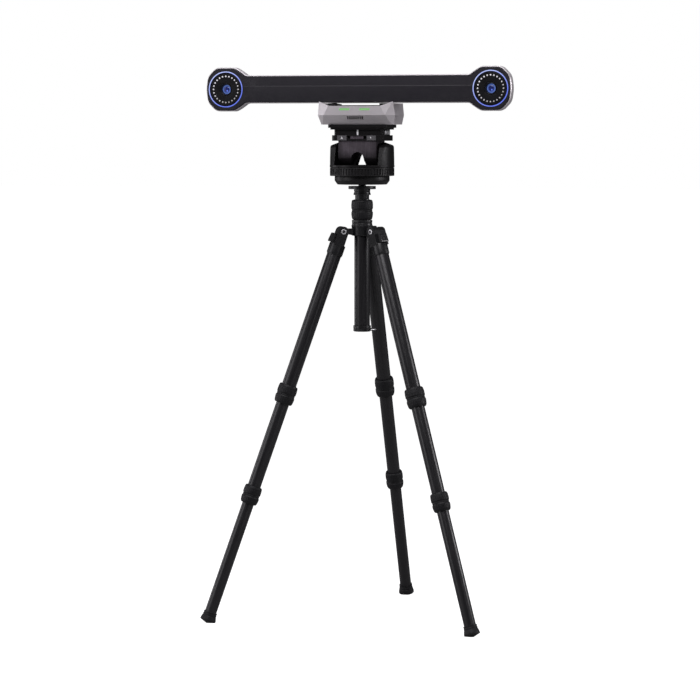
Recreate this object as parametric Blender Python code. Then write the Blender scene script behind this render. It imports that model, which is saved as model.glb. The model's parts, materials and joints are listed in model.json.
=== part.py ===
"""A stereo optical tracking scanner standing on a three-legged travel tripod.

The front faces -Y and the camera bar runs along X. Sizes are in millimetres, and new_object turns them into
Blender's metres. Everything hangs from one empty on the centre column's axis, and heights are measured
from it. The floor is at FLOOR_Z, and the empty is lifted at the end so that the floor is z = 0.
"""

import math

import bmesh
import bpy
from mathutils import Matrix, Vector

MM = 0.001
GAP = 0.4  # clearance between neighbouring pieces
TURNING_GAP = 0.6  # between vertices of pieces whose flats pass each other

# Tripod
FLOOR_Z = -6.9
HINGE_RADIUS, HINGE_Z = 38.0, 716.0
FOOT_RADIUS = 294.45  # where a leg's axis meets the floor
LEG_AZIMUTHS = {"front_left": 210.0, "front_right": 330.0, "rear": 90.0}
LEG_SEGMENTS = 16
SPREAD = math.atan((FOOT_RADIUS - HINGE_RADIUS) / (HINGE_Z - FLOOR_Z))
SOLE_BITE = 0.8  # how far the cone of a foot would reach below the floor
LEG_LENGTH = (HINGE_Z - FLOOR_Z + SOLE_BITE) / math.cos(SPREAD)
TUBE_RADII = (13.4, 12.2, 11.0)
TUBE_WALL = 0.8
TUBE_SPANS = ((27.0, 325.0), (225.0, 522.0), (452.0, 758.3))  # distances from the hinge along the leg
UPPER_LOCK_SPAN, LOWER_LOCK_SPAN = (301.0, 337.0), (499.0, 533.0)
UPPER_LOCK_RADIUS, LOWER_LOCK_RADIUS = 18.3, 16.9
EAR_RADIUS, EAR_WIDTH, LUG_WIDTH = 9.5, 13.6, 6.0  # widths are half widths along the hinge axis
SLEEVE_RADIUS, SLEEVE_SPAN = 15.1, (25.0, 46.0)
PIN_RADIUS, PIN_HEAD_RADIUS = 3.0, 5.3
WEB_HALF = 9.8
TAB_SPAN, TAB_DEPTH, TAB_WIDTH = (7.5, 24.5), (10.2, 18.6), 8.5  # depths are outward from the leg's axis
STEM_REACH, STEM_HALF, STEM_SPAN = 3.0, 3.0, (12.0, 17.0)
FOOT_TOP_RADIUS, FOOT_RIM_RADIUS, FOOT_HEIGHT = 12.6, 14.75, 17.0

# Crown and centre column
COLUMN_SEGMENTS = 20
COLUMN_RADIUS, COLUMN_WALL = 14.5, 1.2
COLUMN_BOTTOM, COLUMN_TOP = 541.4, 775.5
CROWN_SPAN, CROWN_RADIUS = (708.0, 727.0), 19.5
LUG_HEIGHT = 5.5  # half height, and the radius of a lug's round end
NECK_TOP, NECK_RADIUS = 737.0, 19.0
COLUMN_LOCK_HEIGHT, COLUMN_LOCK_RADIUS = 37.0, 20.2
PLUG_LENGTH, STUD_RADIUS, STUD_TOP = 15.5, 7.0, 811.0
DISC_RADIUS, DISC_HEIGHT, HUB_RADIUS = 25.4, 5.6, 15.1
END_CAP_BOTTOM, END_CAP_RADIUS = 530.0, 16.35
HOOK_CENTRE, HOOK_REACH, HOOK_WIDTH, HOOK_WIRE = (17.2, 534.0), 9.0, 4.6, 0.9
HOOK_STEPS, HOOK_SIDES, BOSS_HALF = 16, 6, 2.6

# Pan and tilt head
HEAD_SEGMENTS = 36
LENS_SEGMENTS, RING_SEGMENTS = 16, 28
DRUM_SPAN, DRUM_RADIUS, DRUM_CHAMFER = (803.0, 818.3), 51.0, (5.5, 7.0)
POST_RADIUS, POST_TOP = 12.0, 829.0
YOKE_BOTTOM, YOKE_RADIUS = 818.9, 60.0
DECK_TOP, DECK_BOTTOM, WELL_BOTTOM = 838.8, 834.8, 832.6
EAR_INNER = 42.0
EAR_EDGE = ((39.0, 838.8), (36.0, 850.0), (32.5, 862.0), (28.5, 872.0), (22.0, 876.0), (12.0, 880.4))
EAR_SIDE = ((59.6, 850.0), (59.0, 873.0), (57.3, 875.6), (43.0, 880.8))  # radii and heights
RING_RADII, RING_SPAN = (47.0, 59.7), (818.9, 834.4)
TILT_Z, AXLE_RADIUS, AXLE_END = 866.0, 4.5, 50.0
BLOCK_HALF_WIDTH, BLOCK_FRONT, BLOCK_BACK, BLOCK_TOP = 36.8, -30.0, 22.0, 883.7
BLOCK_SWEEP = 32.7  # the underside's radius about the tilt axis
TUNNEL = ((0, 860.3), (5.0, 860.0), (8.0, 858.8), (9.4, 856.0), (10.2, 850.0), (11.6, 844.0), (15.0, 838.0),
          (19.0, 830.0))
NARROWS = ((0, 859.6), (3.5, 858.6), (6.0, 855.5), (7.6, 851.0), (9.2, 846.0), (11.5, 841.0), (14.5, 836.0),
           (17.0, 830.0))
NARROWS_DEPTH, HOLLOW_HALF, HOLLOW_TOP = (-4.0, 9.0), 24.0, 859.1
WELL_HALF = (40.5, 20.5)
GROOVE_RADII = (46.3, 70.0)
KNOB_CENTRE, KNOB_RADIUS, KNOB_SPAN, KNOB_STEM = (-50.0, 846.5), 7.2, (39.6, 53.0), (15.0, 2.5)

# Quick-release clamp and plate
CLAMP_BOTTOM, FLANGE_TOP, CLAMP_TOP = 884.0, 894.0, 903.9
FLANGE_HALF, NECK_HALF = (49.7, 33.7), (46.0, 28.0)
SLOT_HALF, SLOT_SPAN, SLOT_DEPTH = 18.5, (886.8, 892.6), 4.5
POCKET_HALF, POCKET_BOTTOM = (30.0, 20.0), 897.6
GUIDE_SPAN, GUIDE_BACK, TONGUE_HALF, SLIDER_HALF = (888.6, 890.8), -23.0, 8.0, 12.5
BUTTON_DEPTH, BUTTON_SPAN, BUTTON_END = (-15.0, 17.0), (895.2, 902.8), 49.1
PLATE_SPANS = ((904.3, 907.6), (907.6, 913.6))
PLATE_HALVES = ((52.3, 33.0), (56.2, 35.0))
SCREW_HEAD, SCREW_SPAN, SCREW_RADIUS = (8.3, 902.0), (899.0, 917.2), 3.2

# Mount block
MOUNT_BOTTOM, MOUNT_CREASE, MOUNT_TOP, WING_TOP = 914.0, 931.0, 947.7, 956.0
BAR_CLEARANCE = 952.5
ROOM_OUTLINE = ((44.0, -46.0), (57.0, -37.0), (57.0, 13.0))
LIGHT_SPAN, LIGHT_HEIGHT = (9.5, 29.3), (939.5, 943.7)
VENT_COUNT, VENT_PITCH, VENT_HEIGHT = 8, 4.0, (923.0, 928.5)
SHELL_WALL = 3.6
RAIL_HALF, RAIL_DEPTH, RAIL_SPAN, LIGHT_FRONT, LIGHT_LEAN = 31.0, (-45.4, -43.4), (938.0, 945.4), -50.4, 1.0
POWER_CENTRE, POWER_RADIUS, POWER_DEPTH = (-40.0, 938.0), 4.0, (11.2, 18.6)
BOARD_HALF, BOARD_DEPTH, BOARD_SPAN = 54.0, (-22.0, 9.0), (921.0, 922.6)
LID_SPAN = (946.4, 949.2)
ARM_SPAN, ARM_DEPTH, ARM_REAR = (43.0, 56.0), (-32.0, 11.0), 951.4
POST_SPAN, POST_DEPTH = (49.5, 55.5), (-10.0, 2.0)

# Camera bar
BAR_Z, BAR_HALF = 979.0, 24.0
LENS_X = 255.0
COVER_FRONT, COVER_BACK, SHELL_FRONT, SHELL_BACK = -38.0, -24.0, -35.8, 17.0
SHELL_LIP, SHELL_SHOULDER, SHELL_HIP = 2.0, -18.0, 8.0  # the shell narrows behind its shoulder
HIP_GROWTH, BACK_GROWTH, SKIN = -7.0, -11.0, 1.65
POD_OUTLINE = (  # outward from the lens centre, above it
    (-42.0, BAR_HALF), (-37.7, 25.3), (-33.5, 28.6), (-24.8, 34.4),
    (-17.0, 38.7), (19.0, 38.7), (34.5, 23.0), (37.5, 0.0),
)
CREASE_Z, CREASE_END, CREASE_DEPTH = 984.0, 213.0, 2.5
RING_LIGHT_RADII = (30.6, 33.2)
BARREL_RADII, BARREL_MOUTH, BARREL_BACK = (8.9, 10.8), 10.2, -4.0
GLASS_RADIUS, GLASS_DEPTH = 8.5, (9.5, 13.8)  # depths behind the cover's front
BOARD_FACE, BOARD_THICKNESS = 1.6, 1.6
BEAM_HALF, BEAM_END, BEAM_DEPTH = 14.0, 272.0, (-12.0, 6.0)


# ---------------------------------------------------------------- scene and materials

def clear_scene():
    for obj in list(bpy.data.objects):
        bpy.data.objects.remove(obj, do_unlink=True)


def material(name, colour, roughness, metallic=0.0):
    made = bpy.data.materials.new(name)
    made.use_nodes = True
    shader = made.node_tree.nodes["Principled BSDF"]
    shader.inputs["Base Color"].default_value = (*colour, 1.0)
    shader.inputs["Roughness"].default_value = roughness
    shader.inputs["Metallic"].default_value = metallic
    made.diffuse_color = (*colour, 1.0)
    return made


def new_empty(name, parent=None, location=(0, 0, 0), rotation=(0, 0, 0)):
    empty = bpy.data.objects.new(name, None)
    empty.parent = parent
    empty.location = Vector(location) * MM
    empty.rotation_euler = rotation
    bpy.context.scene.collection.objects.link(empty)
    return empty


def new_mesh(name, shape, look, origin):
    """The shape as a mesh in metres about `origin`, shaded smooth between its sharp edges."""
    shape = shape.copy()
    bmesh.ops.translate(shape, vec=-Vector(origin), verts=shape.verts)
    bmesh.ops.scale(shape, vec=(MM, MM, MM), verts=shape.verts)
    mesh = bpy.data.meshes.new(name)
    shape.to_mesh(mesh)
    shape.free()
    mesh.materials.append(look)
    mesh.shade_smooth()
    mesh.set_sharp_from_angle(angle=math.radians(35))
    return mesh


def new_object(name, shape, look, parent, origin=(0, 0, 0)):
    """One piece, with its origin where its joint's axis passes."""
    obj = bpy.data.objects.new(name, new_mesh(name, shape, look, origin))
    obj.parent = parent
    obj.location = Vector(origin) * MM
    bpy.context.scene.collection.objects.link(obj)
    return obj


# ---------------------------------------------------------------- shapes

AXIS_TURN = {
    "X": Matrix(((0, 0, 1), (1, 0, 0), (0, 1, 0))),  # an outline's (u, v) lies along (Y, Z)
    "Y": Matrix(((1, 0, 0), (0, 0, 1), (0, 1, 0))),  # along (X, Z)
    "Z": Matrix.Identity(3),
}


def outward(shape):
    bmesh.ops.recalc_face_normals(shape, faces=shape.faces)
    return shape


def placed(shape, axis, centre=(0, 0, 0)):
    """Turns a shape made along Z to lie along `axis`, through `centre`."""
    bmesh.ops.transform(shape, matrix=AXIS_TURN[axis].to_4x4(), verts=shape.verts)
    bmesh.ops.translate(shape, vec=centre, verts=shape.verts)
    return outward(shape)


def turned(profile, segments, axis="Z", centre=(0, 0, 0), ring=False):
    """Turns (radius, height) points about Z. A ring's profile closes on itself clear of the axis."""
    shape = bmesh.new()
    points = [shape.verts.new((radius, 0, height)) for radius, height in profile]
    pairs = list(zip(points, points[1:]))
    if ring:
        pairs.append((points[-1], points[0]))
    edges = [shape.edges.new(pair) for pair in pairs]
    bmesh.ops.spin(shape, geom=points + edges, cent=(0, 0, 0), axis=(0, 0, 1),
                   angle=math.tau, steps=segments, use_duplicate=False)
    bmesh.ops.remove_doubles(shape, verts=shape.verts, dist=1e-4)
    return placed(shape, axis, centre)


def rod(radius, low, high, segments, axis="Z", centre=(0, 0, 0)):
    return turned([(0, low), (radius, low), (radius, high), (0, high)], segments, axis, centre)


def tube(outer, inner, low, high, segments):
    return turned([(outer, low), (outer, high), (inner, high), (inner, low)], segments, ring=True)


def loft(loops):
    """A closed body through loops of points that match one another, with flat ends."""
    shape = bmesh.new()
    rows = [[shape.verts.new(point) for point in loop] for loop in loops]
    for lower, upper in zip(rows, rows[1:]):
        for i in range(len(lower)):
            j = (i + 1) % len(lower)
            shape.faces.new((lower[i], lower[j], upper[j], upper[i]))
    shape.faces.new(rows[0])
    shape.faces.new(rows[-1])
    return outward(shape)


def prism(outline, low, high, axis="Z"):
    return placed(loft([[(u, v, end) for u, v in outline] for end in (low, high)]), axis)


def block(x, y, z):
    return prism([(x[0], y[0]), (x[1], y[0]), (x[1], y[1]), (x[0], y[1])], *z)


def temporary(shape):
    mesh = bpy.data.meshes.new("temporary")
    shape.to_mesh(mesh)
    shape.free()
    obj = bpy.data.objects.new("temporary", mesh)
    bpy.context.scene.collection.objects.link(obj)
    return obj


def combine(base, within=(), joined=(), cut=()):
    """`base` kept only `within` some shapes, with the `joined` ones added and the `cut` ones removed."""
    body = temporary(base)
    steps = [(shape, "INTERSECT") for shape in within]
    steps += [(shape, "UNION") for shape in joined]
    steps += [(shape, "DIFFERENCE") for shape in cut]
    tools = []
    for shape, operation in steps:
        tools.append(temporary(shape))
        modifier = body.modifiers.new(operation, "BOOLEAN")
        modifier.operation = operation
        modifier.solver = "EXACT"
        modifier.object = tools[-1]
    evaluated = body.evaluated_get(bpy.context.evaluated_depsgraph_get())
    result = bmesh.new()
    result.from_mesh(evaluated.to_mesh())
    evaluated.to_mesh_clear()
    for obj in [body, *tools]:
        bpy.data.objects.remove(obj, do_unlink=True)
    bmesh.ops.remove_doubles(result, verts=result.verts, dist=1e-4)
    return result


def mirrored(points):
    """Points on the +X side, followed by the mirror images of those that are off the middle."""
    return list(points) + [(-point[0], *point[1:]) for point in reversed(points) if point[0]]


def grown(outline, distance):
    """A closed outline moved outwards by `distance`, its corners kept sharp."""
    moved = []
    for i, here in enumerate(outline):
        before, after = Vector(outline[i - 1]), Vector(outline[(i + 1) % len(outline)])
        here = Vector(here)
        sides = [(here - before).normalized(), (after - here).normalized()]
        normals = [Vector((side.y, -side.x)) for side in sides]
        middle = (normals[0] + normals[1]).normalized()
        moved.append(tuple(here + middle * distance / middle.dot(normals[0])))
    return moved


# ---------------------------------------------------------------- legs

def shoulder_shape():
    """The hinge casting: two round ears over a web, and the sleeve that holds the upper tube."""
    arc = [(EAR_RADIUS * math.cos(a), EAR_RADIUS * math.sin(a))
           for a in (math.radians(15 * step) for step in range(13))]
    web = arc + [(-WEB_HALF, -SLEEVE_SPAN[0] - 1), (WEB_HALF, -SLEEVE_SPAN[0] - 1)]
    step = SLEEVE_SPAN[1] - 2.0
    sleeve = turned([(0, -SLEEVE_SPAN[0]), (SLEEVE_RADIUS, -SLEEVE_SPAN[0]), (SLEEVE_RADIUS, -step),
                     (SLEEVE_RADIUS - 0.7, -step), (SLEEVE_RADIUS - 0.7, -SLEEVE_SPAN[1]),
                     (0, -SLEEVE_SPAN[1])], LEG_SEGMENTS)
    reach = LUG_HEIGHT + 0.9
    slot = block((-20, reach), (-LUG_WIDTH - GAP, LUG_WIDTH + GAP), (-reach, 20))
    bore = rod(TUBE_RADII[0] + GAP, -60, -TUBE_SPANS[0][0] + GAP, LEG_SEGMENTS)
    pin_hole = rod(PIN_RADIUS + GAP, -20, 20, 12, axis="Y")
    stem_hole = block((STEM_REACH - 1, 20), (-STEM_HALF - GAP, STEM_HALF + GAP),
                      (-STEM_SPAN[1] - GAP, -STEM_SPAN[0] + GAP))
    return combine(prism(web, -EAR_WIDTH, EAR_WIDTH, axis="Y"), joined=[sleeve],
                   cut=[slot, bore, pin_hole, stem_hole])


def bolt_shape():
    """The hinge pin with its two round silver heads, each with a shallow socket."""
    inner, outer = EAR_WIDTH + 0.3, EAR_WIDTH + 1.6
    half = [(PIN_RADIUS, inner), (PIN_HEAD_RADIUS, inner), (PIN_HEAD_RADIUS, outer - 0.4),
            (PIN_HEAD_RADIUS - 0.5, outer), (2.4, outer), (2.0, outer - 0.8), (0, outer - 0.8)]
    profile = [(radius, -height) for radius, height in reversed(half)] + half
    return turned(profile, 12, axis="Y")


def tab_shape():
    """The pull-out stop that sets how far the leg spreads, with the stem that slides in the web."""
    top, bottom = -TAB_SPAN[0], -TAB_SPAN[1]
    back, front = TAB_DEPTH
    side = [(back, top), (front - 2, top - 1), (front, bottom + 1.5), (front - 0.6, bottom), (back, bottom)]
    stem = block((STEM_REACH, back + 0.8), (-STEM_HALF, STEM_HALF), (-STEM_SPAN[1], -STEM_SPAN[0]))
    return combine(prism(side, -TAB_WIDTH, TAB_WIDTH, axis="Y"), joined=[stem])


def leg_tube_shape(section):
    radius, (top, bottom) = TUBE_RADII[section], TUBE_SPANS[section]
    return tube(radius, radius - TUBE_WALL, -bottom, -top, LEG_SEGMENTS)


def lock_shape(span, radius, section):
    """A two-lobed twist lock round the end of one tube, narrowing to pass the next one."""
    top, bottom = -span[0], -span[1]
    step = -TUBE_SPANS[section][1] - GAP
    wide, narrow = TUBE_RADII[section] + TURNING_GAP, TUBE_RADII[section + 1] + TURNING_GAP
    waist = (top + bottom) / 2 + 1
    profile = [(wide, top), (radius - 3.2, top), (radius - 0.5, top - 5), (radius, waist + 2.5),
               (radius - 1.3, waist), (radius, waist - 2.5), (radius - 0.5, bottom + 6),
               (radius - 3.4, bottom), (narrow, bottom), (narrow, step), (wide, step)]
    return turned(profile, LEG_SEGMENTS, ring=True)


def foot_shape():
    """A rubber foot whose cone sole lies flat on the floor along its inner side."""
    rim = -LEG_LENGTH + FOOT_RIM_RADIUS * math.tan(SPREAD)
    socket, end = TUBE_RADII[2] + GAP, -TUBE_SPANS[2][1] - GAP
    profile = [(socket, rim + FOOT_HEIGHT), (FOOT_TOP_RADIUS, rim + FOOT_HEIGHT),
               (FOOT_TOP_RADIUS + 0.8, rim + 8), (FOOT_RIM_RADIUS, rim + 2), (FOOT_RIM_RADIUS, rim),
               (0, -LEG_LENGTH), (0, end), (socket, end), (socket, rim + FOOT_HEIGHT)]
    shape = turned(profile, LEG_SEGMENTS)
    floor = Vector((-math.sin(SPREAD), 0, -math.cos(SPREAD)))
    cut = bmesh.ops.bisect_plane(shape, geom=shape.verts[:] + shape.edges[:] + shape.faces[:],
                                 plane_co=floor * (HINGE_Z - FLOOR_Z), plane_no=floor, clear_outer=True)
    rim_edges = [item for item in cut["geom_cut"] if isinstance(item, bmesh.types.BMEdge)]
    bmesh.ops.contextual_create(shape, geom=rim_edges)
    return outward(shape)


def add_legs(root, looks):
    shapes = (
        ("shoulder", shoulder_shape(), "casting", 0.0),
        ("hinge_bolt", bolt_shape(), "steel", 0.0),
        ("angle_tab", tab_shape(), "moulded", 0.0),
        ("upper_tube", leg_tube_shape(0), "anodised", 0.0),
        ("upper_lock", lock_shape(UPPER_LOCK_SPAN, UPPER_LOCK_RADIUS, 0), "rubber", -UPPER_LOCK_SPAN[0]),
        ("mid_tube", leg_tube_shape(1), "anodised", -TUBE_SPANS[1][0]),
        ("lower_lock", lock_shape(LOWER_LOCK_SPAN, LOWER_LOCK_RADIUS, 1), "rubber", -LOWER_LOCK_SPAN[0]),
        ("lower_tube", leg_tube_shape(2), "anodised", -TUBE_SPANS[2][0]),
        ("foot", foot_shape(), "rubber", -TUBE_SPANS[2][1]),
    )
    for leg, azimuth in LEG_AZIMUTHS.items():
        angle = math.radians(azimuth)
        hinge = (HINGE_RADIUS * math.cos(angle), HINGE_RADIUS * math.sin(angle), HINGE_Z)
        frame = new_empty(f"{leg}_leg_axis", root, hinge, (0, -SPREAD, angle))
        for piece, shape, look, height in shapes:
            new_object(f"{leg}_{piece}", shape, looks[look], frame, (0, 0, height))
    for _, shape, _, _ in shapes:
        shape.free()


# ---------------------------------------------------------------- crown and column

def crown_shape():
    """The casting that carries the three leg lugs and guides the centre column."""
    low, high = CROWN_SPAN
    body = turned([(0, low), (CROWN_RADIUS - 1, low), (CROWN_RADIUS, low + 1), (CROWN_RADIUS, high),
                   (NECK_RADIUS, high), (NECK_RADIUS, NECK_TOP), (0, NECK_TOP)], COLUMN_SEGMENTS)
    lugs, holes = [], []
    for azimuth in LEG_AZIMUTHS.values():
        turn = Matrix.Rotation(math.radians(azimuth), 4, "Z")
        end = [(HINGE_RADIUS + LUG_HEIGHT * math.cos(a), HINGE_Z + LUG_HEIGHT * math.sin(a))
               for a in (math.radians(22.5 * step - 90) for step in range(9))]
        side = [(15.0, HINGE_Z - LUG_HEIGHT)] + end + [(15.0, HINGE_Z + LUG_HEIGHT)]
        lug = prism(side, -LUG_WIDTH, LUG_WIDTH, axis="Y")
        hole = rod(PIN_RADIUS + GAP, -20, 20, 12, "Y", (HINGE_RADIUS, 0, HINGE_Z))
        for shape, group in ((lug, lugs), (hole, holes)):
            bmesh.ops.transform(shape, matrix=turn, verts=shape.verts)
            group.append(shape)
    bore = rod(COLUMN_RADIUS + GAP, low - 5, NECK_TOP + 5, COLUMN_SEGMENTS)
    return combine(body, joined=lugs, cut=[bore, *holes])


def column_lock_shape():
    low, bore, widest = NECK_TOP + TURNING_GAP, COLUMN_RADIUS + TURNING_GAP, COLUMN_LOCK_RADIUS
    top = low + COLUMN_LOCK_HEIGHT
    waist = (low + top) / 2
    profile = [(bore, low), (widest - 3.3, low), (widest - 1.5, low + 4.4), (widest, waist - 2.5),
               (widest - 1.1, waist), (widest, waist + 2.5), (widest - 0.9, top - 3.5),
               (widest - 2.1, top), (bore, top)]
    return turned(profile, COLUMN_SEGMENTS, ring=True)


def top_plate_shape():
    """The column's head: a plug in the tube, a flanged hub, the load disc and the threaded stud."""
    plug, flange, seat = COLUMN_RADIUS - COLUMN_WALL - GAP, HUB_RADIUS + 0.8, COLUMN_TOP + GAP
    bottom, disc = COLUMN_TOP - PLUG_LENGTH, DRUM_SPAN[0] - 3.0
    under = disc - DISC_HEIGHT
    profile = [(0, bottom), (plug, bottom), (plug, seat), (flange - 2.9, seat), (flange - 2.9, under - 10.8),
               (flange, under - 10.8), (flange, under - 8), (HUB_RADIUS, under - 8), (HUB_RADIUS, under),
               (DISC_RADIUS, under), (DISC_RADIUS, disc), (STUD_RADIUS, disc), (STUD_RADIUS, STUD_TOP),
               (0, STUD_TOP)]
    return turned(profile, COLUMN_SEGMENTS)


def end_cap_shape():
    plug, radius = COLUMN_RADIUS - COLUMN_WALL - GAP, END_CAP_RADIUS
    bottom, top = END_CAP_BOTTOM, COLUMN_BOTTOM - GAP
    body = turned([(0, bottom), (radius - 1.5, bottom), (radius, bottom + 1.5), (radius, top),
                   (plug, top), (plug, top + PLUG_LENGTH), (0, top + PLUG_LENGTH)], COLUMN_SEGMENTS)
    boss = block((radius - 4, HOOK_CENTRE[0] + BOSS_HALF), (-BOSS_HALF, BOSS_HALF),
                 (HOOK_CENTRE[1] - BOSS_HALF, HOOK_CENTRE[1] + BOSS_HALF))
    hole = rod(HOOK_WIRE + GAP, -12, 12, 10, "Y", (HOOK_CENTRE[0], 0, HOOK_CENTRE[1]))
    return combine(body, joined=[boss], cut=[hole])


def hook_shape():
    """A closed loop of wire through the end cap's boss."""
    x, z = HOOK_CENTRE
    centre = Vector((x + HOOK_REACH / 2, 0, z))
    path = []
    for step in range(HOOK_STEPS):
        angle = math.tau * step / HOOK_STEPS
        x_part, y_part = math.cos(angle), math.sin(angle)
        x = math.copysign(abs(x_part) ** 0.6 * HOOK_REACH / 2, x_part)
        y = math.copysign(abs(y_part) ** 0.6 * HOOK_WIDTH, y_part)
        path.append(centre + Vector((x, y, 0)))
    shape = bmesh.new()
    turns = [math.tau * k / HOOK_SIDES for k in range(HOOK_SIDES)]
    rings = []
    for i, point in enumerate(path):
        along = (path[(i + 1) % HOOK_STEPS] - path[i - 1]).normalized()
        side = along.cross(Vector((0, 0, 1)))
        spokes = [side * math.cos(turn) + Vector((0, 0, math.sin(turn))) for turn in turns]
        rings.append([shape.verts.new(point + HOOK_WIRE * spoke) for spoke in spokes])
    for i, ring in enumerate(rings):
        after = rings[(i + 1) % HOOK_STEPS]
        for k in range(HOOK_SIDES):
            n = (k + 1) % HOOK_SIDES
            shape.faces.new((ring[k], ring[n], after[n], after[k]))
    return outward(shape)


def add_column(root, looks):
    new_object("crown", crown_shape(), looks["casting"], root, (0, 0, HINGE_Z))
    new_object("column_lock", column_lock_shape(), looks["rubber"], root, (0, 0, NECK_TOP))
    inner = COLUMN_RADIUS - COLUMN_WALL
    column = tube(COLUMN_RADIUS, inner, COLUMN_BOTTOM, COLUMN_TOP, COLUMN_SEGMENTS)
    new_object("centre_column", column, looks["anodised"], root, (0, 0, COLUMN_BOTTOM))
    new_object("column_top_plate", top_plate_shape(), looks["casting"], root, (0, 0, COLUMN_TOP))
    new_object("column_end_cap", end_cap_shape(), looks["casting"], root, (0, 0, END_CAP_BOTTOM))
    new_object("weight_hook", hook_shape(), looks["steel"], root, (HOOK_CENTRE[0], 0, HOOK_CENTRE[1]))


# ---------------------------------------------------------------- pan and tilt head

def pan_base_shape():
    """The fixed drum, bored for the column's stud, with the post that the yoke turns on."""
    low, high = DRUM_SPAN
    inset, rise = DRUM_CHAMFER
    body = turned([(0, low), (DRUM_RADIUS - inset, low), (DRUM_RADIUS, low + rise), (DRUM_RADIUS, high),
                   (POST_RADIUS, high), (POST_RADIUS, POST_TOP), (0, POST_TOP)], HEAD_SEGMENTS)
    return combine(body, cut=[rod(STUD_RADIUS + GAP, low - 5, STUD_TOP + GAP, COLUMN_SEGMENTS)])


def ear_shapes():
    """The yoke's two ears: sides of a drum, wide at the deck and narrowing to a top that slopes outwards."""
    low, top = DECK_TOP - 2.0, EAR_SIDE[-1][1]
    drum = turned([(0, low), (YOKE_RADIUS - 0.3, low), *EAR_SIDE, (0, top)], HEAD_SEGMENTS)
    foot = EAR_EDGE[0][0]
    right = [(foot, low - 1), *EAR_EDGE]
    outline = right + [(-y, z) for y, z in reversed(right)]
    both = combine(drum, within=[prism(outline, -70, 70, axis="X")])
    ears = []
    for side in (-1, 1):
        reach = sorted((side * EAR_INNER, side * 70))
        ears.append(combine(both.copy(), within=[block(reach, (-70, 70), (low - 5, top + 5))]))
    both.free()
    return ears


def yoke_shape():
    """The turning fork: a hub inside the drag ring, a deck with a well, and two tall ears."""
    low = YOKE_BOTTOM
    base = rod(YOKE_RADIUS, low, DECK_TOP, HEAD_SEGMENTS)
    well = block((-WELL_HALF[0], WELL_HALF[0]), (-WELL_HALF[1], WELL_HALF[1]), (WELL_BOTTOM, DECK_TOP + 1))
    groove = tube(GROOVE_RADII[1], GROOVE_RADII[0], low - 5, DECK_BOTTOM, HEAD_SEGMENTS)
    socket = rod(POST_RADIUS + 0.5, low - 6, POST_TOP + GAP, HEAD_SEGMENTS)
    axle = rod(AXLE_RADIUS + GAP, -AXLE_END - 1, AXLE_END + 1, 16, "X", (0, 0, TILT_Z))
    knob_hole = rod(KNOB_STEM[1] + GAP, 0, 60, 10, "Y", (KNOB_CENTRE[0], 0, KNOB_CENTRE[1]))
    return combine(base, joined=ear_shapes(), cut=[well, groove, socket, axle, knob_hole])


def tilt_block_shape():
    """The tilting block: an underside swept about the axle, a bell-shaped tunnel and a hollow back."""
    first = math.atan2(-math.sqrt(BLOCK_SWEEP ** 2 - BLOCK_FRONT ** 2), BLOCK_FRONT)
    last = math.atan2(-math.sqrt(BLOCK_SWEEP ** 2 - BLOCK_BACK ** 2), BLOCK_BACK)
    angles = [first + (last - first) * step / 8 for step in range(9)]
    under = [(BLOCK_SWEEP * math.cos(a), TILT_Z + BLOCK_SWEEP * math.sin(a)) for a in angles]
    body = prism([(BLOCK_FRONT, BLOCK_TOP)] + under + [(BLOCK_BACK, BLOCK_TOP)],
                 -BLOCK_HALF_WIDTH, BLOCK_HALF_WIDTH, axis="X")
    tunnel = prism(mirrored(TUNNEL), -50, NARROWS_DEPTH[0], axis="Y")
    narrows = prism(mirrored(NARROWS), NARROWS_DEPTH[0] - 1, NARROWS_DEPTH[1] + 1, axis="Y")
    hollow = block((-HOLLOW_HALF, HOLLOW_HALF), (NARROWS_DEPTH[1], 50), (820, HOLLOW_TOP))
    axle = rod(AXLE_RADIUS + GAP, -60, 60, 16, "X", (0, 0, TILT_Z))
    return combine(body, cut=[tunnel, narrows, hollow, axle])


def knob_shape():
    """The tilt lock: a fluted head behind the left ear on a stem that runs into it."""
    (stem, stem_radius), (low, high) = KNOB_STEM, KNOB_SPAN
    profile = [(0, stem), (stem_radius, stem), (stem_radius, low), (KNOB_RADIUS - 3.5, low),
               (KNOB_RADIUS, low + 2), (KNOB_RADIUS, high - 3), (KNOB_RADIUS - 1.5, high), (0, high)]
    return turned(profile, 12, "Y", (KNOB_CENTRE[0], 0, KNOB_CENTRE[1]))


def chamfered(half_x, half_y, corner, back_corner=2.0):
    """A plate's outline, with its front corners cut more than its back ones."""
    right = [(half_x - corner, -half_y), (half_x, -half_y + corner),
             (half_x, half_y - back_corner), (half_x - back_corner, half_y)]
    return mirrored(right)


def clamp_shape():
    """The clamp: a flange with a front slot, a neck, and a pocket for the plate's foot."""
    flange = prism(chamfered(*FLANGE_HALF, 6.0), CLAMP_BOTTOM, FLANGE_TOP)
    neck = prism(chamfered(*NECK_HALF, 3.0), FLANGE_TOP - 1, CLAMP_TOP)
    slot = block((-SLOT_HALF, SLOT_HALF), (-60, -FLANGE_HALF[1] + SLOT_DEPTH), SLOT_SPAN)
    pocket = block((-POCKET_HALF[0], POCKET_HALF[0]), (-POCKET_HALF[1], POCKET_HALF[1]),
                   (POCKET_BOTTOM, CLAMP_TOP + 5))
    side = block((NECK_HALF[0] - 4, 60), (BUTTON_DEPTH[0] - GAP, BUTTON_DEPTH[1] + GAP),
                 (BUTTON_SPAN[0] - GAP, BUTTON_SPAN[1] + GAP))
    guide = block((-SLOT_HALF, SLOT_HALF), (-FLANGE_HALF[1], GUIDE_BACK), GUIDE_SPAN)
    return combine(flange, joined=[neck], cut=[slot, pocket, side, guide])


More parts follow.
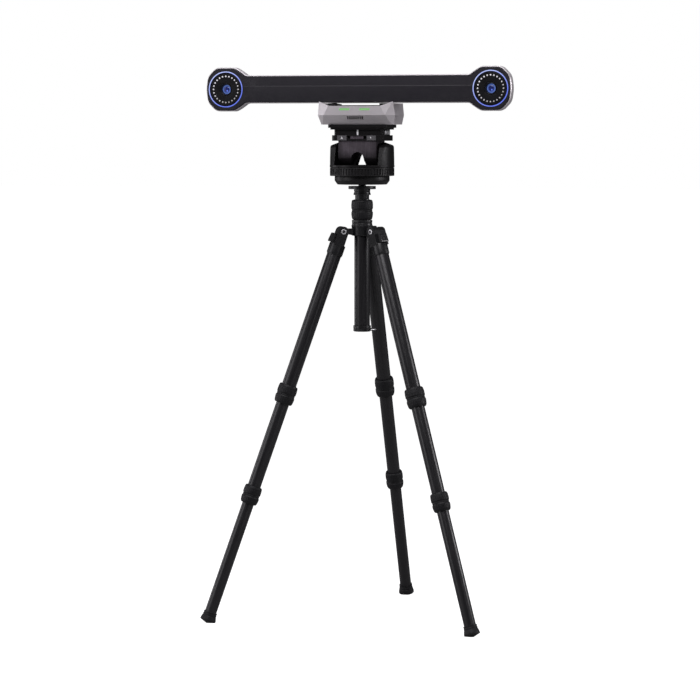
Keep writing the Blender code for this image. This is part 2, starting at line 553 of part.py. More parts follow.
def slider_shape():
    """The clamp's lock slider, with the tongue that runs in the slot's guide."""
    front = -FLANGE_HALF[1]
    face = block((-SLIDER_HALF, SLIDER_HALF), (front + 1.0, front + SLOT_DEPTH - GAP),
                 (SLOT_SPAN[0] + GAP, SLOT_SPAN[1] - GAP))
    tongue = block((-TONGUE_HALF, TONGUE_HALF), (front + 2, GUIDE_BACK - 1),
                   (GUIDE_SPAN[0] + GAP, GUIDE_SPAN[1] - GAP))
    return combine(face, joined=[tongue])


def release_button_shape():
    """The silver key on the clamp's right side."""
    inner, (low, high) = NECK_HALF[0] - 0.5, BUTTON_SPAN
    side = [(inner, low), (BUTTON_END - 0.6, low), (BUTTON_END, low + 0.8), (BUTTON_END, high - 0.8),
            (BUTTON_END - 0.6, high), (inner, high)]
    return prism(side, *BUTTON_DEPTH, axis="Y")


def plate_shape():
    """The quick-release plate: two stepped layers and a foot, bored for its screw."""
    lower, upper = [prism(chamfered(*half, 3.0), *span) for half, span in zip(PLATE_HALVES, PLATE_SPANS)]
    half_x, half_y = POCKET_HALF[0] - GAP, POCKET_HALF[1] - GAP
    foot = block((-half_x, half_x), (-half_y, half_y), (POCKET_BOTTOM + GAP, PLATE_SPANS[0][0] + 1))
    hole = rod(SCREW_RADIUS + GAP, 890, 930, 12)
    recess = rod(SCREW_HEAD[0] + 0.7, 890, SCREW_HEAD[1] + GAP, 16)
    return combine(lower, joined=[upper, foot], cut=[hole, recess])


def screw_shape():
    (head, seat), (low, high) = SCREW_HEAD, SCREW_SPAN
    return turned([(0, low), (head, low), (head, seat), (SCREW_RADIUS, seat), (SCREW_RADIUS, high),
                   (0, high)], 12)


def add_head(root, looks):
    black, grey, steel = looks["satin_black"], looks["block_grey"], looks["steel"]
    tilt, plate = (0, 0, TILT_Z), (0, 0, PLATE_SPANS[0][0])
    new_object("pan_base", pan_base_shape(), black, root, (0, 0, DRUM_SPAN[0]))
    ring = tube(RING_RADII[1], RING_RADII[0], *RING_SPAN, HEAD_SEGMENTS)
    new_object("pan_drag_ring", ring, black, root, (0, 0, RING_SPAN[0]))
    new_object("yoke", yoke_shape(), black, root, (0, 0, YOKE_BOTTOM))
    new_object("tilt_axle", rod(AXLE_RADIUS, -AXLE_END, AXLE_END, 16, "X", tilt), steel, root, tilt)
    new_object("tilt_block", tilt_block_shape(), grey, root, tilt)
    new_object("tilt_lock_knob", knob_shape(), black, root, (KNOB_CENTRE[0], 0, KNOB_CENTRE[1]))
    new_object("clamp_body", clamp_shape(), black, root, tilt)
    new_object("clamp_lock_slider", slider_shape(), grey, root, (0, -FLANGE_HALF[1], SLOT_SPAN[0]))
    new_object("plate_release_button", release_button_shape(), steel, root, (NECK_HALF[0], 0, CLAMP_TOP))
    new_object("quick_release_plate", plate_shape(), black, root, plate)
    new_object("plate_screw", screw_shape(), steel, root, plate)


# ---------------------------------------------------------------- mount block

def slanted(x0, x1, z0, z1, lean):
    """A four-sided outline whose ends lean by `lean`."""
    return [(x0, z0), (x1, z0), (x1 + lean, z1), (x0 + lean, z1)]


def mount_shell_shape():
    """The silver housing: an upper and a lower facet meeting in a crease, and two raised wing corners."""
    bottom = mirrored([(66.6, -31.8, MOUNT_BOTTOM), (70.3, -28.1, MOUNT_BOTTOM),
                       (72.6, 14.5, MOUNT_BOTTOM), (60, 16.5, MOUNT_BOTTOM)])
    crease = mirrored([(59.2, -49.3, MOUNT_CREASE), (74.6, -36, MOUNT_CREASE),
                       (76.5, 14.5, MOUNT_CREASE), (60, 17, MOUNT_CREASE)])
    top = mirrored([(49.9, -51, MOUNT_TOP), (71, -40, WING_TOP),
                    (74.3, 14.5, BAR_CLEARANCE), (49.9, 17, MOUNT_TOP)])
    body = loft([bottom, crease, top])
    bmesh.ops.triangulate(body, faces=body.faces)
    above_flat = block((-49.9, 49.9), (-60, 30), (MOUNT_TOP, 970))
    under_bar = block((-90, 90), (COVER_FRONT - 0.6, 30), (BAR_CLEARANCE, 970))
    upper_room = prism(mirrored(ROOM_OUTLINE), MOUNT_CREASE - 0.5, 970)
    lower_room = block((-56, 56), (-28, 10.5), (MOUNT_BOTTOM + SHELL_WALL, MOUNT_CREASE + 1))
    room = combine(upper_room, joined=[lower_room])
    cuts = [above_flat, under_bar, room, rod(SCREW_RADIUS + GAP, 900, 925, 12)]
    cuts.append(rod(POWER_RADIUS + GAP, 5, 30, 12, "Y", (POWER_CENTRE[0], 0, POWER_CENTRE[1])))
    cuts.append(prism([(-30, 924.2), (-25.5, 924.2), (-21.5, 929.8), (-26, 929.8)], 70, 90, axis="X"))
    for side in (-1, 1):
        middle = side * sum(LIGHT_SPAN) / 2
        half = (LIGHT_SPAN[1] - LIGHT_SPAN[0]) / 2 + GAP
        low, high = LIGHT_HEIGHT[0] - GAP, LIGHT_HEIGHT[1] + GAP
        window = slanted(middle - half, middle + half, low, high, LIGHT_LEAN)
        cuts.append(prism(window, -60, -40, axis="Y"))
    for i in range(VENT_COUNT):
        x = (i - (VENT_COUNT - 1) / 2) * VENT_PITCH
        cuts.append(prism(slanted(x - 1.9, x + 0.3, *VENT_HEIGHT, 1.6), -60, -20, axis="Y"))
    return combine(body, cut=cuts)


def light_pipe_shape():
    """Two slanted bars that show through the front, on the rail that joins them inside."""
    rail = block((-RAIL_HALF, RAIL_HALF), RAIL_DEPTH, RAIL_SPAN)
    bars = []
    for side in (-1, 1):
        middle = side * sum(LIGHT_SPAN) / 2
        half = (LIGHT_SPAN[1] - LIGHT_SPAN[0]) / 2
        bar = slanted(middle - half, middle + half, *LIGHT_HEIGHT, LIGHT_LEAN)
        bars.append(prism(bar, LIGHT_FRONT, RAIL_DEPTH[1] - 0.4, axis="Y"))
    return combine(rail, joined=bars)


def power_button_shape():
    (low, high), flange = POWER_DEPTH, POWER_RADIUS + 1.6
    profile = [(0, low), (flange, low), (flange, low + 1.4), (POWER_RADIUS, low + 1.4),
               (POWER_RADIUS, high - 0.6), (POWER_RADIUS - 0.6, high), (0, high)]
    return turned(profile, 12, "Y", (POWER_CENTRE[0], 0, POWER_CENTRE[1]))


def cradle_shape():
    """The lid of the housing with the two arms and posts that carry the bar."""
    lid = prism(grown(mirrored(ROOM_OUTLINE), -GAP), *LID_SPAN)
    root, seat = LID_SPAN[1] - 1, BAR_Z - BAR_HALF - SHELL_LIP - GAP
    side_view = [(ARM_DEPTH[0], root), (ARM_DEPTH[0], seat), (SHELL_SHOULDER, seat), (ARM_DEPTH[1], ARM_REAR),
                 (ARM_DEPTH[1], root)]
    added = []
    for side in (-1, 1):
        arm = sorted(side * x for x in ARM_SPAN)
        post = sorted(side * x for x in POST_SPAN)
        added.append(prism(side_view, *arm, axis="X"))
        added.append(block(post, POST_DEPTH, (root, BAR_Z - BEAM_HALF - GAP)))
    return combine(lid, joined=added)


def add_mount_block(root, looks):
    base = (0, 0, MOUNT_BOTTOM)
    new_object("mount_block_shell", mount_shell_shape(), looks["silver"], root, base)
    new_object("status_light_pipe", light_pipe_shape(), looks["status_green"], root, base)
    power = (POWER_CENTRE[0], 0, POWER_CENTRE[1])
    new_object("power_button", power_button_shape(), looks["satin_black"], root, power)
    board = block((-BOARD_HALF, BOARD_HALF), BOARD_DEPTH, BOARD_SPAN)
    new_object("main_board", board, looks["board_green"], root, base)
    new_object("cradle_bracket", cradle_shape(), looks["satin_black"], root, base)


# ---------------------------------------------------------------- camera bar

def bar_outline(growth):
    """The bar with a pod at each end, seen from the front, moved outwards by `growth`."""
    upper = [(LENS_X + out, BAR_Z + up) for out, up in POD_OUTLINE]
    lower = [(x, 2 * BAR_Z - z) for x, z in upper[-2::-1]]
    right = (upper + lower)[::-1]
    return grown(mirrored(right), growth)


def bar_loft(stations):
    """A body through bar outlines, each given as (depth, growth)."""
    return loft([[(x, depth, z) for x, z in bar_outline(growth)] for depth, growth in stations])


def rear_shell_shape():
    """The silver back: a thin bevelled lip round the cover, then sides that narrow towards the rear."""
    body = bar_loft([(SHELL_FRONT, SHELL_LIP - 1), (SHELL_FRONT + 2, SHELL_LIP), (SHELL_SHOULDER, SHELL_LIP),
                     (SHELL_HIP, HIP_GROWTH), (SHELL_BACK, BACK_GROWTH)])
    inside = SHELL_LIP - SKIN
    room = bar_loft([(SHELL_FRONT - 5, inside), (SHELL_SHOULDER, inside), (SHELL_HIP, HIP_GROWTH - 2),
                     (SHELL_BACK - 2.5, BACK_GROWTH - 1)])
    slots = []
    for side in (-1, 1):
        post = sorted(side * x for x in POST_SPAN)
        slots.append(block((post[0] - GAP, post[1] + GAP), (POST_DEPTH[0] - GAP, POST_DEPTH[1] + GAP),
                           (940, BAR_Z - BEAM_HALF)))
    return combine(body, cut=[room, *slots])


def cover_shape():
    """The black front: a tray with a lens opening in each pod and a leaning upper band between them."""
    body = bar_loft([(COVER_FRONT, -1.0), (COVER_FRONT + 1.0, 0.0), (COVER_BACK, 0.0)])
    room = bar_loft([(COVER_FRONT + 4.5, -2.2), (COVER_BACK + 5, -2.2)])
    top = BAR_Z + BAR_HALF + 2
    lean = prism([(COVER_FRONT - 5, CREASE_Z), (COVER_FRONT, CREASE_Z), (COVER_FRONT + CREASE_DEPTH, top),
                  (COVER_FRONT - 5, top)], -CREASE_END, CREASE_END, axis="X")
    holes = [rod(RING_LIGHT_RADII[1] + 0.5, -60, 0, RING_SEGMENTS, "Y", (x, 0, BAR_Z))
             for x in (-LENS_X, LENS_X)]
    return combine(body, cut=[room, lean, *holes])


def beam_shape():
    """The stiff beam that holds both cameras at a fixed distance."""
    body = block((-BEAM_END, BEAM_END), BEAM_DEPTH, (BAR_Z - BEAM_HALF, BAR_Z + BEAM_HALF))
    holes = [rod(BARREL_RADII[1] + GAP, -30, 30, LENS_SEGMENTS, "Y", (x, 0, BAR_Z))
             for x in (-LENS_X, LENS_X)]
    return combine(body, cut=holes)


def add_camera(root, looks, side, x):
    """One camera: its ring light, LED board, barrel and front lens, all about the lens axis."""
    front, centre = COVER_FRONT, (x, 0, BAR_Z)
    inner, outer = RING_LIGHT_RADII
    ring = turned([(inner, front - 0.2), (outer, front - 0.2), (outer, front + 8), (inner, front + 8)],
                  RING_SEGMENTS, "Y", centre, ring=True)
    new_object(f"{side}_light_ring", ring, looks["ring_blue"], root, centre)
    hole, edge, face = BARREL_RADII[1] + 0.5, inner - GAP, front + BOARD_FACE
    rear = face + BOARD_THICKNESS
    board = turned([(hole, face), (edge, face), (edge, rear), (hole, rear)],
                   RING_SEGMENTS, "Y", centre, ring=True)
    new_object(f"{side}_led_board", board, looks["satin_black"], root, centre)
    bore, radius = BARREL_RADII
    apex, glass_back = front + GLASS_DEPTH[0], front + GLASS_DEPTH[1]
    barrel = turned([(BARREL_MOUTH, front + 1.0), (radius, front + 1.0), (radius, BARREL_BACK),
                     (bore, BARREL_BACK), (bore, apex - 1.5)], LENS_SEGMENTS, "Y", centre, ring=True)
    new_object(f"{side}_lens_barrel", barrel, looks["satin_black"], root, centre)
    glass = turned([(0, apex), (GLASS_RADIUS / 2, apex + 0.4), (GLASS_RADIUS, apex + 2),
                    (GLASS_RADIUS, glass_back), (0, glass_back)], LENS_SEGMENTS, "Y", centre)
    new_object(f"{side}_lens_glass", glass, looks["lens_blue"], root, centre)


def add_bar(root, looks):
    middle = (0, 0, BAR_Z)
    new_object("baseline_beam", beam_shape(), looks["aluminium"], root, middle)
    new_object("rear_shell", rear_shell_shape(), looks["silver"], root, middle)
    new_object("front_cover", cover_shape(), looks["cover_black"], root, middle)
    add_camera(root, looks, "left", -LENS_X)
    add_camera(root, looks, "right", LENS_X)


# ---------------------------------------------------------------- assembly

def make_looks():
    return {
        "anodised": material("anodised_black", (0.020, 0.020, 0.022), 0.32, 0.6),
        "casting": material("cast_black", (0.026, 0.026, 0.028), 0.45, 0.3),
        "rubber": material("rubber_black", (0.018, 0.018, 0.019), 0.75),
        "satin_black": material("satin_black", (0.022, 0.021, 0.023), 0.42, 0.2),
        "cover_black": material("cover_black", (0.027, 0.027, 0.032), 0.38),
        "block_grey": material("block_grey", (0.105, 0.088, 0.105), 0.48, 0.4),
        "moulded": material("moulded_black", (0.022, 0.022, 0.024), 0.4),
        "steel": material("steel", (0.62, 0.62, 0.63), 0.28, 1.0),
        "aluminium": material("aluminium", (0.60, 0.61, 0.62), 0.35, 1.0),
        "silver": material("silver_paint", (0.44, 0.42, 0.44), 0.36, 0.7),
        "status_green": material("status_green", (0.26, 0.58, 0.22), 0.4),
        "ring_blue": material("ring_blue", (0.26, 0.27, 0.82), 0.3),
        "board_green": material("board_green", (0.02, 0.12, 0.05), 0.5),
        "lens_blue": material("lens_blue", (0.03, 0.04, 0.48), 0.06),
    }


def centre_footprint(root):
    """Puts the origin at floor level in the middle of the whole object's footprint rectangle."""
    bpy.context.view_layer.update()
    corners = [obj.matrix_world @ vertex.co
               for obj in bpy.data.objects if obj.type == "MESH" for vertex in obj.data.vertices]
    depths = [corner.y for corner in corners]
    root.location.y = -(min(depths) + max(depths)) / 2
    root.location.z = -FLOOR_Z * MM


def main():
    clear_scene()
    looks = make_looks()
    root = new_empty("column_axis")
    add_legs(root, looks)
    add_column(root, looks)
    add_head(root, looks)
    add_mount_block(root, looks)
    add_bar(root, looks)
    centre_footprint(root)


main()
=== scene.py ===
"""Looks for the stereo optical tracking scanner: meshes, materials, floor, light and camera."""

import json
import math

import bmesh
import bpy
from mathutils import Matrix, Vector


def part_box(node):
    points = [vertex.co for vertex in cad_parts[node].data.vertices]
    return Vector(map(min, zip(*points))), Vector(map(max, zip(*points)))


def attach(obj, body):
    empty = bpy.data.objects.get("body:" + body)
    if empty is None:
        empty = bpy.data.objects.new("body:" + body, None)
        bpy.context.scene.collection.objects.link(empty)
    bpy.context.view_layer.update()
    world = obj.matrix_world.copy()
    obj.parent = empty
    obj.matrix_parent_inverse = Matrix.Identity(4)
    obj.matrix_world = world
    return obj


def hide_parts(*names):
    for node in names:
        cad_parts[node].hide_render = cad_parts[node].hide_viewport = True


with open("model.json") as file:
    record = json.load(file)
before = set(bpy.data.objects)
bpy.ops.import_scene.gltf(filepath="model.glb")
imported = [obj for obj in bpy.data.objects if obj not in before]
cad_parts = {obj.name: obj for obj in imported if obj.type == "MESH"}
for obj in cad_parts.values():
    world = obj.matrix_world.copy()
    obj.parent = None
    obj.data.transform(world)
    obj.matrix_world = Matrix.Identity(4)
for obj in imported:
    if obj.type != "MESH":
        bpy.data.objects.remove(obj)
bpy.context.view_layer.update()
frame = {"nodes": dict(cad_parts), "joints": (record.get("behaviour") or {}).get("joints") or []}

# Shapes are in millimetres: the head's about the centre column's axis, a leg's about its hinge.
MM = 0.001
UP = Vector((0, 0, 1))
LEGS = ("front_left", "front_right", "rear")
TILT_Z = 866.0


def joint(name):
    return next(item for item in frame["joints"] if item["name"] == name)


def column_frame():
    low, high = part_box("centre_column")
    floor = joint("tilt")["pos_m"][2] - TILT_Z * MM
    return Matrix.Translation(((low.x + high.x) / 2, (low.y + high.y) / 2, floor)) @ Matrix.Scale(MM, 4)


def leg_frame(leg):
    """Origin on the hinge, +Z up the leg and +X outwards."""
    hinge = joint(f"{leg}_spread")["pos_m"]
    up = -Vector(joint(f"{leg}_mid_extend")["axis"]).normalized()
    out = Vector(joint(f"{leg}_angle_tab_pull")["axis"]).normalized()
    turn = Matrix((out, up.cross(out), up)).transposed().to_4x4()
    return Matrix.Translation(hinge) @ turn @ Matrix.Scale(MM, 4)


HEAD = column_frame()
LEG_FRAMES = {leg: leg_frame(leg) for leg in LEGS}


def joint_place(name):
    return HEAD.inverted() @ Vector(joint(name)["pos_m"])


def span(node, place=HEAD):
    """A CAD node's lowest and highest corners in millimetres, in the frame `place`."""
    inverse = place.inverted()
    points = [inverse @ vertex.co for vertex in frame["nodes"][node].data.vertices]
    return [Vector([pick(p[i] for p in points) for i in range(3)]) for pick in (min, max)]


BAR_HALF = 24.0
lens_low, lens_high = span("right_lens_glass")
LENS_X, BAR_Z = (lens_low.x + lens_high.x) / 2, (lens_low.z + lens_high.z) / 2


# ---------------------------------------------------------------- shapes

AXIS_TURN = {
    "X": Matrix(((0, 0, 1), (1, 0, 0), (0, 1, 0))),
    "Y": Matrix(((1, 0, 0), (0, 0, 1), (0, 1, 0))),
    "Z": Matrix.Identity(3),
}


def outward(shape):
    bmesh.ops.recalc_face_normals(shape, faces=shape.faces)
    return shape


def placed(shape, axis, centre=(0, 0, 0)):
    bmesh.ops.transform(shape, matrix=AXIS_TURN[axis].to_4x4(), verts=shape.verts)
    bmesh.ops.translate(shape, vec=centre, verts=shape.verts)
    return outward(shape)


def rounded(profile, radius, ring=False, steps=3):
    """The profile with each of its corners turned into a short curve."""
    done = []
    count = len(profile)
    for i, point in enumerate(profile):
        here = Vector(point)
        if not ring and i in (0, count - 1):
            done.append(here)
            continue
        before, after = Vector(profile[i - 1]), Vector(profile[(i + 1) % count])
        back, ahead = before - here, after - here
        if back.length < 1e-6 or ahead.length < 1e-6 or math.pi - back.angle(ahead) < 0.12:
            done.append(here)
            continue
        reach = min(radius, 0.45 * back.length, 0.45 * ahead.length)
        start, end = here + back.normalized() * reach, here + ahead.normalized() * reach
        for step in range(steps + 1):
            t = step / steps
            done.append(start * (1 - t) ** 2 + here * 2 * t * (1 - t) + end * t ** 2)
    return [tuple(point) for point in done]


def turned(profile, segments=64, axis="Z", centre=(0, 0, 0), ring=False, relief=None):
    """Turns (radius, height) points about Z; `relief` adds to the radius by (radius, height, angle)."""
    shape = bmesh.new()
    rows = []
    for radius, height in profile:
        if radius < 1e-6:
            rows.append([shape.verts.new((0, 0, height))] * segments)
            continue
        row = []
        for i in range(segments):
            angle = math.tau * i / segments
            r = radius + (relief(radius, height, angle) if relief else 0)
            row.append(shape.verts.new((r * math.cos(angle), r * math.sin(angle), height)))
        rows.append(row)
    pairs = list(zip(rows, rows[1:])) + ([(rows[-1], rows[0])] if ring else [])
    for low, high in pairs:
        for i in range(segments):
            j = (i + 1) % segments
            corners = list(dict.fromkeys((low[i], low[j], high[j], high[i])))
            if len(corners) > 2:
                shape.faces.new(corners)
    return placed(shape, axis, centre)


def rod(radius, low, high, segments=48, axis="Z", centre=(0, 0, 0), edge=0.0):
    profile = [(0, low), (radius, low), (radius, high), (0, high)]
    if edge:
        profile = rounded(profile, edge)
    return turned(profile, segments, axis, centre)


def tube(outer, inner, low, high, segments=64, edge=0.3):
    profile = [(outer, low), (outer, high), (inner, high), (inner, low)]
    return turned(rounded(profile, edge, ring=True), segments, ring=True)


def loft(loops):
    shape = bmesh.new()
    rows = [[shape.verts.new(point) for point in loop] for loop in loops]
    for lower, upper in zip(rows, rows[1:]):
        for i in range(len(lower)):
            j = (i + 1) % len(lower)
            shape.faces.new((lower[i], lower[j], upper[j], upper[i]))
    shape.faces.new(rows[0])
    shape.faces.new(rows[-1])
    return outward(shape)


def prism(outline, low, high, axis="Z"):
    return placed(loft([[(u, v, end) for u, v in outline] for end in (low, high)]), axis)


def block(x, y, z):
    return prism([(x[0], y[0]), (x[1], y[0]), (x[1], y[1]), (x[0], y[1])], *z)


def whole(node):
    """A block that fills a CAD node's box."""
    return block(*zip(*span(node)))


def arc(centre, radius, start, end, steps):
    """Points on a circle, from `start` to `end` degrees."""
    angles = [math.radians(start + (end - start) * i / steps) for i in range(steps + 1)]
    return [(centre[0] + radius * math.cos(a), centre[1] + radius * math.sin(a)) for a in angles]


def mirrored(points):
    return list(points) + [(-point[0], *point[1:]) for point in reversed(points)]


def shifted(points, across, up):
    return [(x + across, y + up) for x, y in points]


def both(near, far):
    """The stretch between two distances from the middle, on its negative and its positive side."""
    return (-far, -near), (near, far)


def grown(outline, distance):
    """A closed outline moved outwards by `distance`, its corners kept sharp."""
    moved = []
    for i, point in enumerate(outline):
        here, before, after = Vector(point), Vector(outline[i - 1]), Vector(outline[(i + 1) % len(outline)])
        sides = [(here - before).normalized(), (after - here).normalized()]
        normals = [Vector((side.y, -side.x)) for side in sides]
        middle = (normals[0] + normals[1]).normalized()
        moved.append(tuple(here + middle * distance / middle.dot(normals[0])))
    return moved


def sweep(path, radius, sides=12):
    """A round wire along a closed path of points."""
    shape = bmesh.new()
    count = len(path)
    rings = []
    side = None
    for i, point in enumerate(path):
        along = (path[(i + 1) % count] - path[i - 1]).normalized()
        side = along.orthogonal() if side is None else side - along * side.dot(along)
        side.normalize()
        other = along.cross(side)
        rings.append([shape.verts.new(point + radius * (side * math.cos(a) + other * math.sin(a)))
                      for a in (math.tau * k / sides for k in range(sides))])
    for low, high in zip(rings, rings[1:] + rings[:1]):
        for k in range(sides):
            n = (k + 1) % sides
            shape.faces.new((low[k], low[n], high[n], high[k]))
    return outward(shape)


def mesh_of(shape, name="temporary"):
    mesh = bpy.data.meshes.new(name)
    shape.to_mesh(mesh)
    shape.free()
    return mesh


def linked(data, name="temporary"):
    """An object of the scene with the given data."""
    obj = bpy.data.objects.new(name, data)
    bpy.context.scene.collection.objects.link(obj)
    return obj


def merged(shapes):
    """Several separate shapes as one mesh."""
    joined = bmesh.new()
    for shape in shapes:
        mesh = mesh_of(shape)
        joined.from_mesh(mesh)
        bpy.data.meshes.remove(mesh)
    return joined


def combine(base, within=(), joined=(), cut=()):
    """`base` kept only `within` some shapes, with the `joined` ones added and the `cut` ones removed."""
    body = linked(mesh_of(base))
    steps = [(shape, "INTERSECT") for shape in within]
    steps += [(shape, "UNION") for shape in joined]
    steps += [(shape, "DIFFERENCE") for shape in cut]
    tools = []
    for shape, operation in steps:
        tools.append(linked(mesh_of(shape)))
        modifier = body.modifiers.new(operation, "BOOLEAN")
        modifier.operation = operation
        modifier.solver = "EXACT"
        modifier.object = tools[-1]
    evaluated = body.evaluated_get(bpy.context.evaluated_depsgraph_get())
    result = bmesh.new()
    result.from_mesh(evaluated.to_mesh())
    evaluated.to_mesh_clear()
    for obj in [body, *tools]:
        bpy.data.objects.remove(obj, do_unlink=True)
    bmesh.ops.remove_doubles(result, verts=result.verts, dist=1e-3)
    bmesh.ops.dissolve_limit(result, angle_limit=math.radians(0.5), verts=result.verts, edges=result.edges)
    return result


def piece(name, shape, look, body, *nodes, place=HEAD, bevel=0.0, angle=32, segments=2):
    """A finished piece: placed, given its pattern coordinates, bevelled, and riding on its body."""
    mesh = mesh_of(shape, name)
    pattern = mesh.attributes.new("pattern", "FLOAT_VECTOR", "POINT")
    for item, vertex in zip(pattern.data, mesh.vertices):
        item.vector = vertex.co
    mesh.transform(place)
    obj = linked(mesh, name)
    slot, material = LOOKS[look]
    mesh.materials.append(material)
    mesh.shade_smooth()
    if bevel:
        edge = obj.modifiers.new("edges", "BEVEL")
        edge.width = bevel * MM
        edge.segments = segments
        edge.limit_method = "ANGLE"
        edge.angle_limit = math.radians(angle)
        edge.use_clamp_overlap = True
        edge.harden_normals = True
        edge.miter_outer = "MITER_ARC"
    mesh.set_sharp_from_angle(angle=math.radians(angle))
    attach(obj, body)
    if nodes:
        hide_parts(*nodes)


def stand_in(node, shape, look, body, **settings):
    """The finished piece that replaces one CAD node."""
    piece(f"{node}_visual", shape, look, body, node, **settings)


# ---------------------------------------------------------------- materials

class Nodes:
    """A small helper for building one material's node tree."""

    def __init__(self, name, **values):
        self.material = bpy.data.materials.new(name)
        self.material.use_nodes = True
        self.tree = self.material.node_tree
        self.shader = self.tree.nodes["Principled BSDF"]
        self.position = self.add("ShaderNodeAttribute", attribute_name="pattern").outputs["Vector"]
        for key, value in values.items():
            self.shader.inputs[key.replace("_", " ")].default_value = value

    def add(self, kind, **settings):
        node = self.tree.nodes.new(kind)
        for key, value in settings.items():
            setattr(node, key, value)
        return node

    def feed(self, value, socket):
        """Gives a socket another socket's value, a number or a colour."""
        if isinstance(value, bpy.types.NodeSocket):
            self.tree.links.new(value, socket)
        else:
            socket.default_value = (*value, 1) if isinstance(value, tuple) else value

    def build(self, kind, result, inputs, **settings):
        """Adds a node, feeds its inputs and gives back its output `result`."""
        node = self.add(kind, **settings)
        for key, value in inputs.items():
            self.feed(value, node.inputs[key])
        return node.outputs[result]

    def noise(self, scale, detail=3.0, stretch=(1, 1, 1), roughness=0.55):
        """Noise with `scale` features per millimetre, drawn out along the axes by `stretch`."""
        squeeze = [1 / value for value in stretch]
        place = self.build("ShaderNodeMapping", "Vector", {"Scale": squeeze, "Vector": self.position})
        inputs = {"Scale": scale, "Detail": detail, "Roughness": roughness, "Vector": place}
        return self.build("ShaderNodeTexNoise", "Fac", inputs)

    def cells(self, scale):
        return self.build("ShaderNodeTexVoronoi", "Distance", {"Scale": scale, "Vector": self.position})

    def along(self, axis):
        return self.build("ShaderNodeSeparateXYZ", axis, {0: self.position})

    def range(self, value, low, high, start=0.3, end=0.7):
        """A value that runs from `low` to `high` while `value` runs from `start` to `end`."""
        inputs = {"From Min": start, "From Max": end, "To Min": low, "To Max": high, "Value": value}
        return self.build("ShaderNodeMapRange", "Result", inputs)

    def mix(self, factor, first, second):
        return self.build("ShaderNodeMix", 2, {0: factor, 6: first, 7: second}, data_type="RGBA")

    def maths(self, operation, first, second=0):
        return self.build("ShaderNodeMath", 0, {0: first, 1: second}, operation=operation)

    def from_lens(self):
        """How far a point is across and up from the axis of the lens on its side."""
        x, z = self.along("X"), self.along("Z")
        centre = self.maths("MULTIPLY", self.maths("SIGN", x), -LENS_X)
        return self.maths("ADD", x, centre), self.maths("ADD", z, -BAR_Z)

    def worn_and_lit_edges(self, base, amount, colour, radius=0.0006):
        """`base` with some of `colour` along its sharp edges."""
        bevel = self.build("ShaderNodeBevel", "Normal", {"Radius": radius}, samples=4)
        flat = self.add("ShaderNodeNewGeometry").outputs["Normal"]
        dot = self.build("ShaderNodeVectorMath", "Value", {0: bevel, 1: flat}, operation="DOT_PRODUCT")
        edges = self.range(dot, 1.0, 0.0, 0.86, 0.995)
        return self.mix(self.maths("MULTIPLY", edges, amount), base, colour)

    def bump(self, height, depth, strength=1.0):
        """Bump of `depth` millimetres, on top of any bump that is already there."""
        inputs = {"Strength": strength, "Distance": depth * MM, "Height": height}
        normal = self.shader.inputs["Normal"]
        if normal.is_linked:
            inputs["Normal"] = normal.links[0].from_socket
        self.feed(self.build("ShaderNodeBump", "Normal", inputs), normal)

    def finish(self, base, rough=None):
        self.feed(base, self.shader.inputs["Base Color"])
        if rough:
            self.feed(rough, self.shader.inputs["Roughness"])
        return self.material


def shade(colour, factor):
    return tuple(min(1.0, channel * factor) for channel in colour)


def coated(name, colour, roughness, metallic=0.0, grain=2.2, depth=0.02, edge_wear_and_highlight=1.5, coat=0.0, specular=0.5):
    """Paint, powder coat or moulded plastic: fine grain, slow blotches and lighter edges that are edge wear,
    and on the head also a painted edge highlight.
    """
    nodes = Nodes(name, Metallic=metallic, Coat_Weight=coat, Coat_Roughness=0.25, Specular_IOR_Level=specular)
    blotch, fine = nodes.noise(0.035, 2), nodes.noise(grain, 2)
    base = nodes.mix(nodes.range(blotch, 0, 1), shade(colour, 0.95), shade(colour, 1.06))
    base = nodes.mix(nodes.range(fine, 0, 0.25), base, shade(colour, 1.35))
    base = nodes.worn_and_lit_edges(base, 0.5, shade(colour, edge_wear_and_highlight))
    nodes.bump(fine, depth)
    return nodes.finish(base, nodes.range(nodes.noise(0.12, 4), roughness * 0.88, roughness * 1.14))


def anodised(name, colour, roughness, metallic=0.55, stretch=(1, 1, 60), streak=0.05, specular=0.5):
    """Drawn and anodised aluminium: long faint die lines, a fine tooth and a few scuffs."""
    nodes = Nodes(name, Metallic=metallic, Specular_IOR_Level=specular)
    lines = nodes.noise(0.7, 2, stretch)
    base = nodes.mix(nodes.range(lines, 0, 1), shade(colour, 0.84), shade(colour, 1.18))
    scuff = nodes.range(nodes.noise(0.05, 5, (1, 1, 3)), 0, 0.35, 0.56, 0.75)
    base = nodes.mix(scuff, base, shade(colour, 1.7))
    base = nodes.worn_and_lit_edges(base, 0.4, shade(colour, 2.4), 0.0004)
    nodes.bump(lines, streak * 0.3)
    nodes.bump(nodes.noise(4.0, 1), 0.003)
    return nodes.finish(base, nodes.range(lines, roughness * 0.85, roughness * 1.2))


def brushed_block(name, colour, roughness):
    """Coarse upright brushing in grey anodising, with painted shade at the sides and at the foot of the face.
    """
    nodes = Nodes(name, Metallic=0.6, Specular_IOR_Level=0.4)
    lines, broad = nodes.noise(1.1, 4, (1, 1, 60), 0.7), nodes.noise(0.16, 3, (1, 1, 40))
    base = nodes.mix(nodes.range(lines, 0, 1, 0.32, 0.68), shade(colour, 0.45), shade(colour, 1.75))
    base = nodes.mix(nodes.range(broad, 0, 0.6), base, shade(colour, 0.5))
    # Painted shade: darker towards both sides of the block.
    side = nodes.range(nodes.maths("ABSOLUTE", nodes.along("X")), 0.0, 0.75, 26, 37)
    base = nodes.mix(side, base, shade(colour, 0.3))
    # Painted shade: near black at the foot of the face, below the tilt axis.
    base = nodes.mix(nodes.range(nodes.along("Z"), 0.95, 0.0, 849, TILT_Z), base, shade(colour, 0.12))
    nodes.bump(lines, 0.03)
    return nodes.finish(base, nodes.range(lines, roughness * 0.8, roughness * 1.25))


